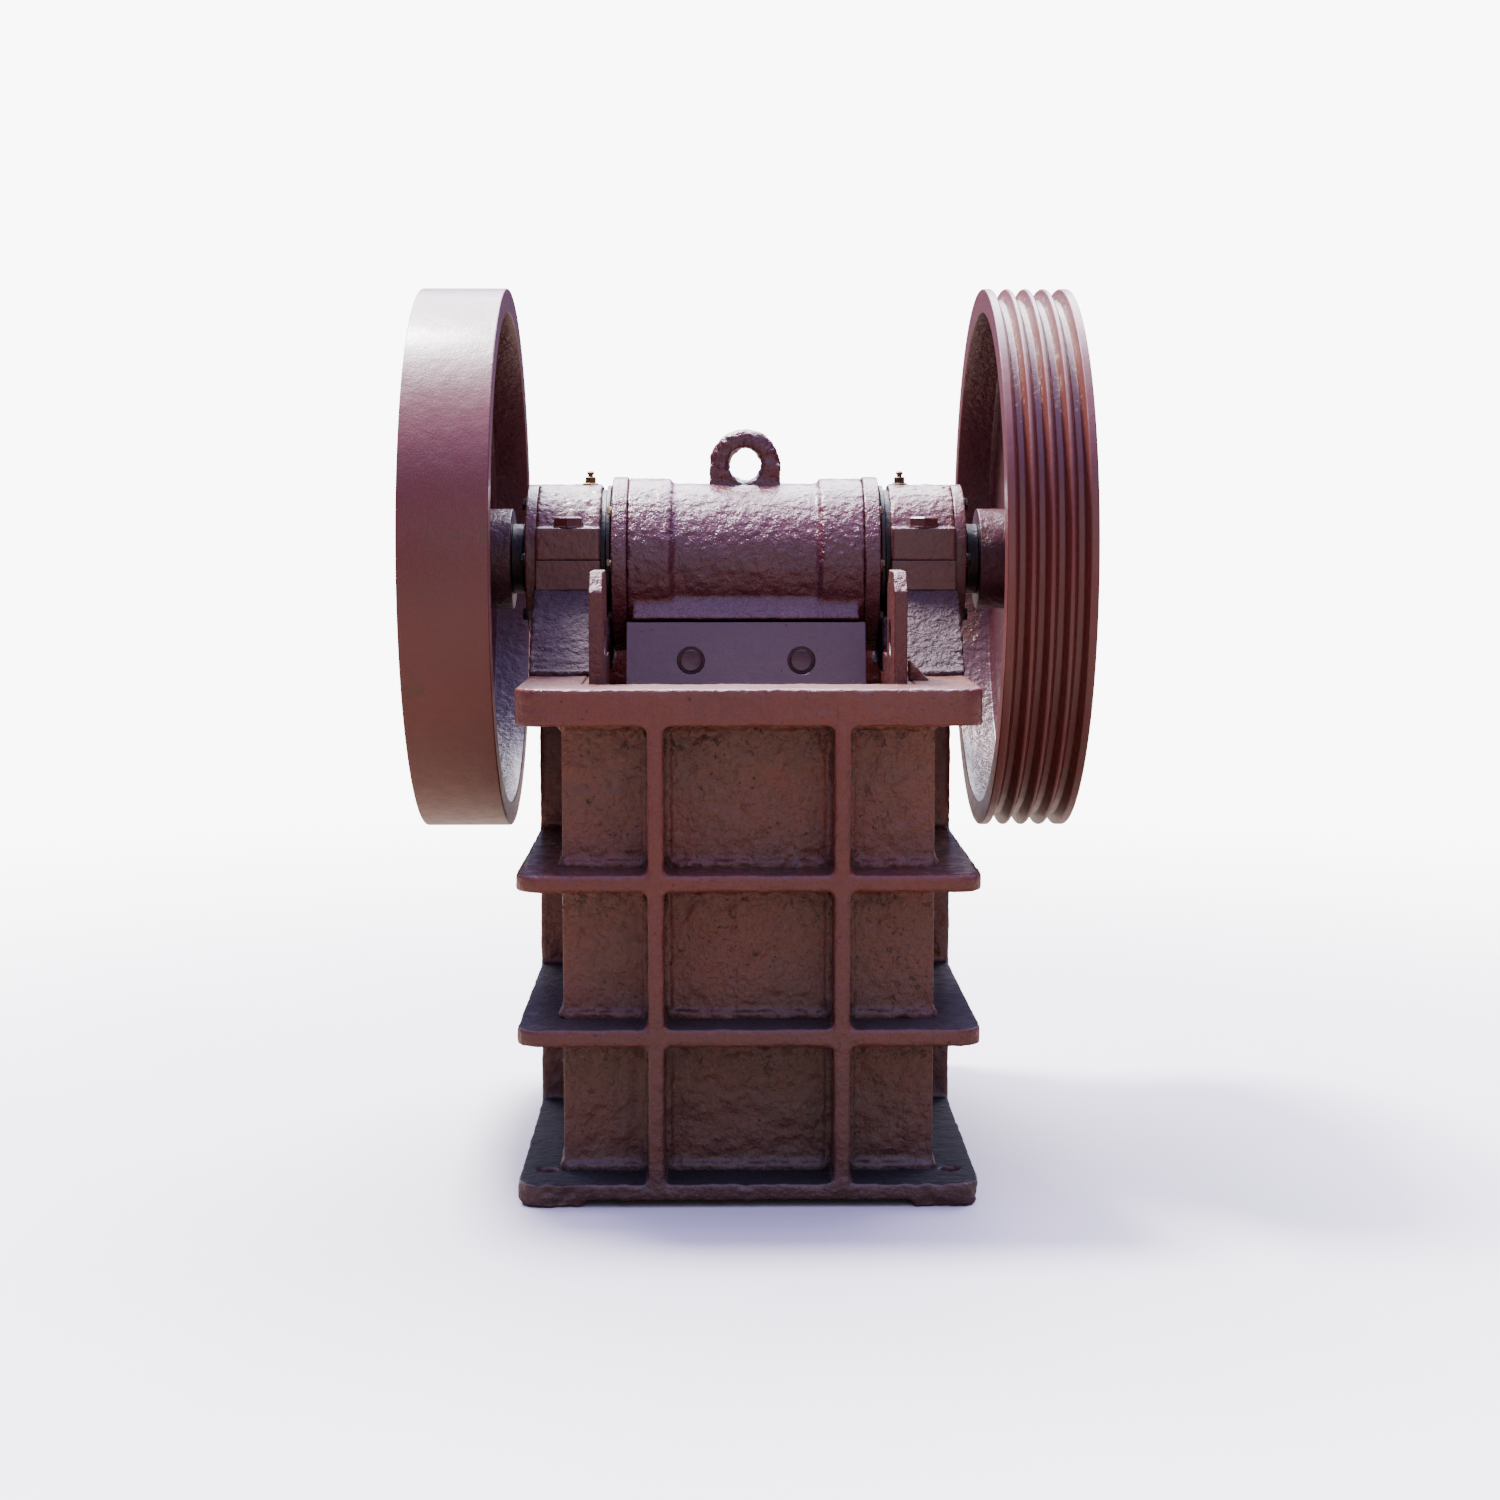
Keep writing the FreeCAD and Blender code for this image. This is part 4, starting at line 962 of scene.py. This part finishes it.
def rotor():
    for node, finish in (("flywheel", "wheel"), ("belt_pulley", "pulley")):
        wheel = from_node(node, f"{node}_turned")
        eased(wheel, 1.6, 3, 20)
        show(wheel, finish, "rotor", "wheel_enamel", node)
    shaft = from_node("eccentric_shaft", "eccentric_shaft_turned")
    eased(shaft, 1.0)
    show(shaft, "greased", "rotor", "greased_steel", "eccentric_shaft")
    for side, sign in SIDES:
        node = f"shaft_sleeve_{side}"
        sleeve = from_node(node, f"{node}_turned")
        eased(sleeve, 1.0)
        show(sleeve, "greased", "rotor", "greased_steel", node)
        key(side, sign)


def key(side, sign):
    """The sunk key between the shaft's end and the wheel's hub."""
    out = spans("eccentric_shaft")[0][1]
    hub = spans("flywheel")[0][1] if sign < 0 else spans("belt_pulley")[0][0]
    x = sorted((sign * abs(hub), sign * (out - 8 * MM)))
    half_width = 9 * MM
    shaft_top = SHAFT.z + 32 * MM
    bar = block("key", x, (SHAFT.y - half_width, SHAFT.y + half_width),
                (shaft_top - 8 * MM, shaft_top + 5 * MM))
    eased(bar, 1.0)
    bar.name = f"wheel_key_{side}"
    show(bar, "steel", "rotor", "greased_steel")


walls()
wall_skins()
bands_and_ribs()
pedestals()
gusset()
bearing_housings()
chamber()
jaw()
tension_gear()
rotor()

# ---- floor, light and camera -----------------------------------------------------------

BACKDROP = 9
FRONT_SKY, TOP_SKY, REAR_SKY = 0.30, 2.3, 18.0


def floor():
    """A pale floor that fades into the white backdrop some way from the machine."""
    deselect()
    bpy.ops.mesh.primitive_plane_add(size=60, location=(0, 0, -1 * MM))
    item = named("floor")
    made = Finish("pale_floor")
    tone = made.blend(made.noise(3, 3), shade(232, 230, 228), shade(222, 220, 218))
    pale = made.add("BsdfDiffuse", None, {"Color": tone})
    ground = made.add("BsdfDiffuse", None, {"Color": (0.19, 0.15, 0.11, 1)})
    glow = made.add("Emission", None, {"Color": (1, 1, 1, 1), "Strength": BACKDROP})
    distance = made.add("VectorMath", {"operation": "LENGTH"}, {0: made.place}, "Value")
    shown = made.add("MixShader", None, {0: made.ramp(distance, 0.5, 3.2), 1: pale, 2: glow})
    seen = made.add("LightPath", output="Is Camera Ray")
    made.add_output(made.add("MixShader", None, {0: seen, 1: ground, 2: shown}))
    item.data.materials.append(made.material)


def soft_light(name, place, target, size, power, colour):
    light = bpy.data.lights.new(name, "AREA")
    light.shape = "DISK"
    light.size = size
    light.energy = power
    light.color = colour
    item = bpy.data.objects.new(name, light)
    item.location = place
    item.rotation_euler = (Vector(target) - Vector(place)).to_track_quat("-Z", "Y").to_euler()
    bpy.context.scene.collection.objects.link(item)


def surroundings():
    """A white backdrop to look at; to light with, a sky that is brightest above and behind."""
    world = bpy.data.worlds.new("studio")
    world.use_nodes = True
    world.node_tree.nodes.clear()
    made = Finish("sky", world)
    direction = made.add("TexCoord", output="Generated")
    height = made.add("SeparateXYZ", None, {0: direction}, "Z")
    rearward = made.add("SeparateXYZ", None, {0: direction}, "Y")
    behind = made.ramp(rearward, -0.05, 0.6) * made.ramp(height, 0.29, 0.62)
    sideways = made.add("SeparateXYZ", None, {0: direction}, "X")
    behind = behind * made.ramp(made.add("Math", {"operation": "ABSOLUTE"}, {0: sideways}),
                                0.75, 0.25)
    overhead = made.ramp(height, 0.35, 1.0)
    colour = made.blend(behind, (0.50, 0.46, 1.0, 1), (0.92, 0.90, 1.0, 1))
    strength = FRONT_SKY + overhead * TOP_SKY + behind * REAR_SKY
    dome = made.add("Background", None, {"Color": colour, "Strength": strength})
    backdrop = made.add("Background", None, {"Color": (1, 1, 1, 1), "Strength": BACKDROP})
    seen = made.add("LightPath", output="Is Camera Ray")
    both = made.add("MixShader", None, {0: seen, 1: dome, 2: backdrop})
    made.add_output(both, "OutputWorld")
    bpy.context.scene.world = world


def camera():
    lens = bpy.data.cameras.new("camera")
    lens.lens = 61.25
    item = bpy.data.objects.new("camera", lens)
    item.location = (-0.0304, -2.836, 0.699)
    pitch, yaw = math.radians(90 - 5.48), math.radians(-0.715)
    item.rotation_euler = (pitch, 0, yaw)
    bpy.context.scene.collection.objects.link(item)
    bpy.context.scene.camera = item


floor()
surroundings()
soft_light("key", (-1.15, 0.95, 4.3), (0, 0, 0.5), 0.9, 620, (1.0, 0.96, 0.93))
soft_light("front_fill", (0.6, -4.0, 1.6), (0, 0, 0.4), 3.0, 22, (1.0, 0.88, 0.80))
camera()
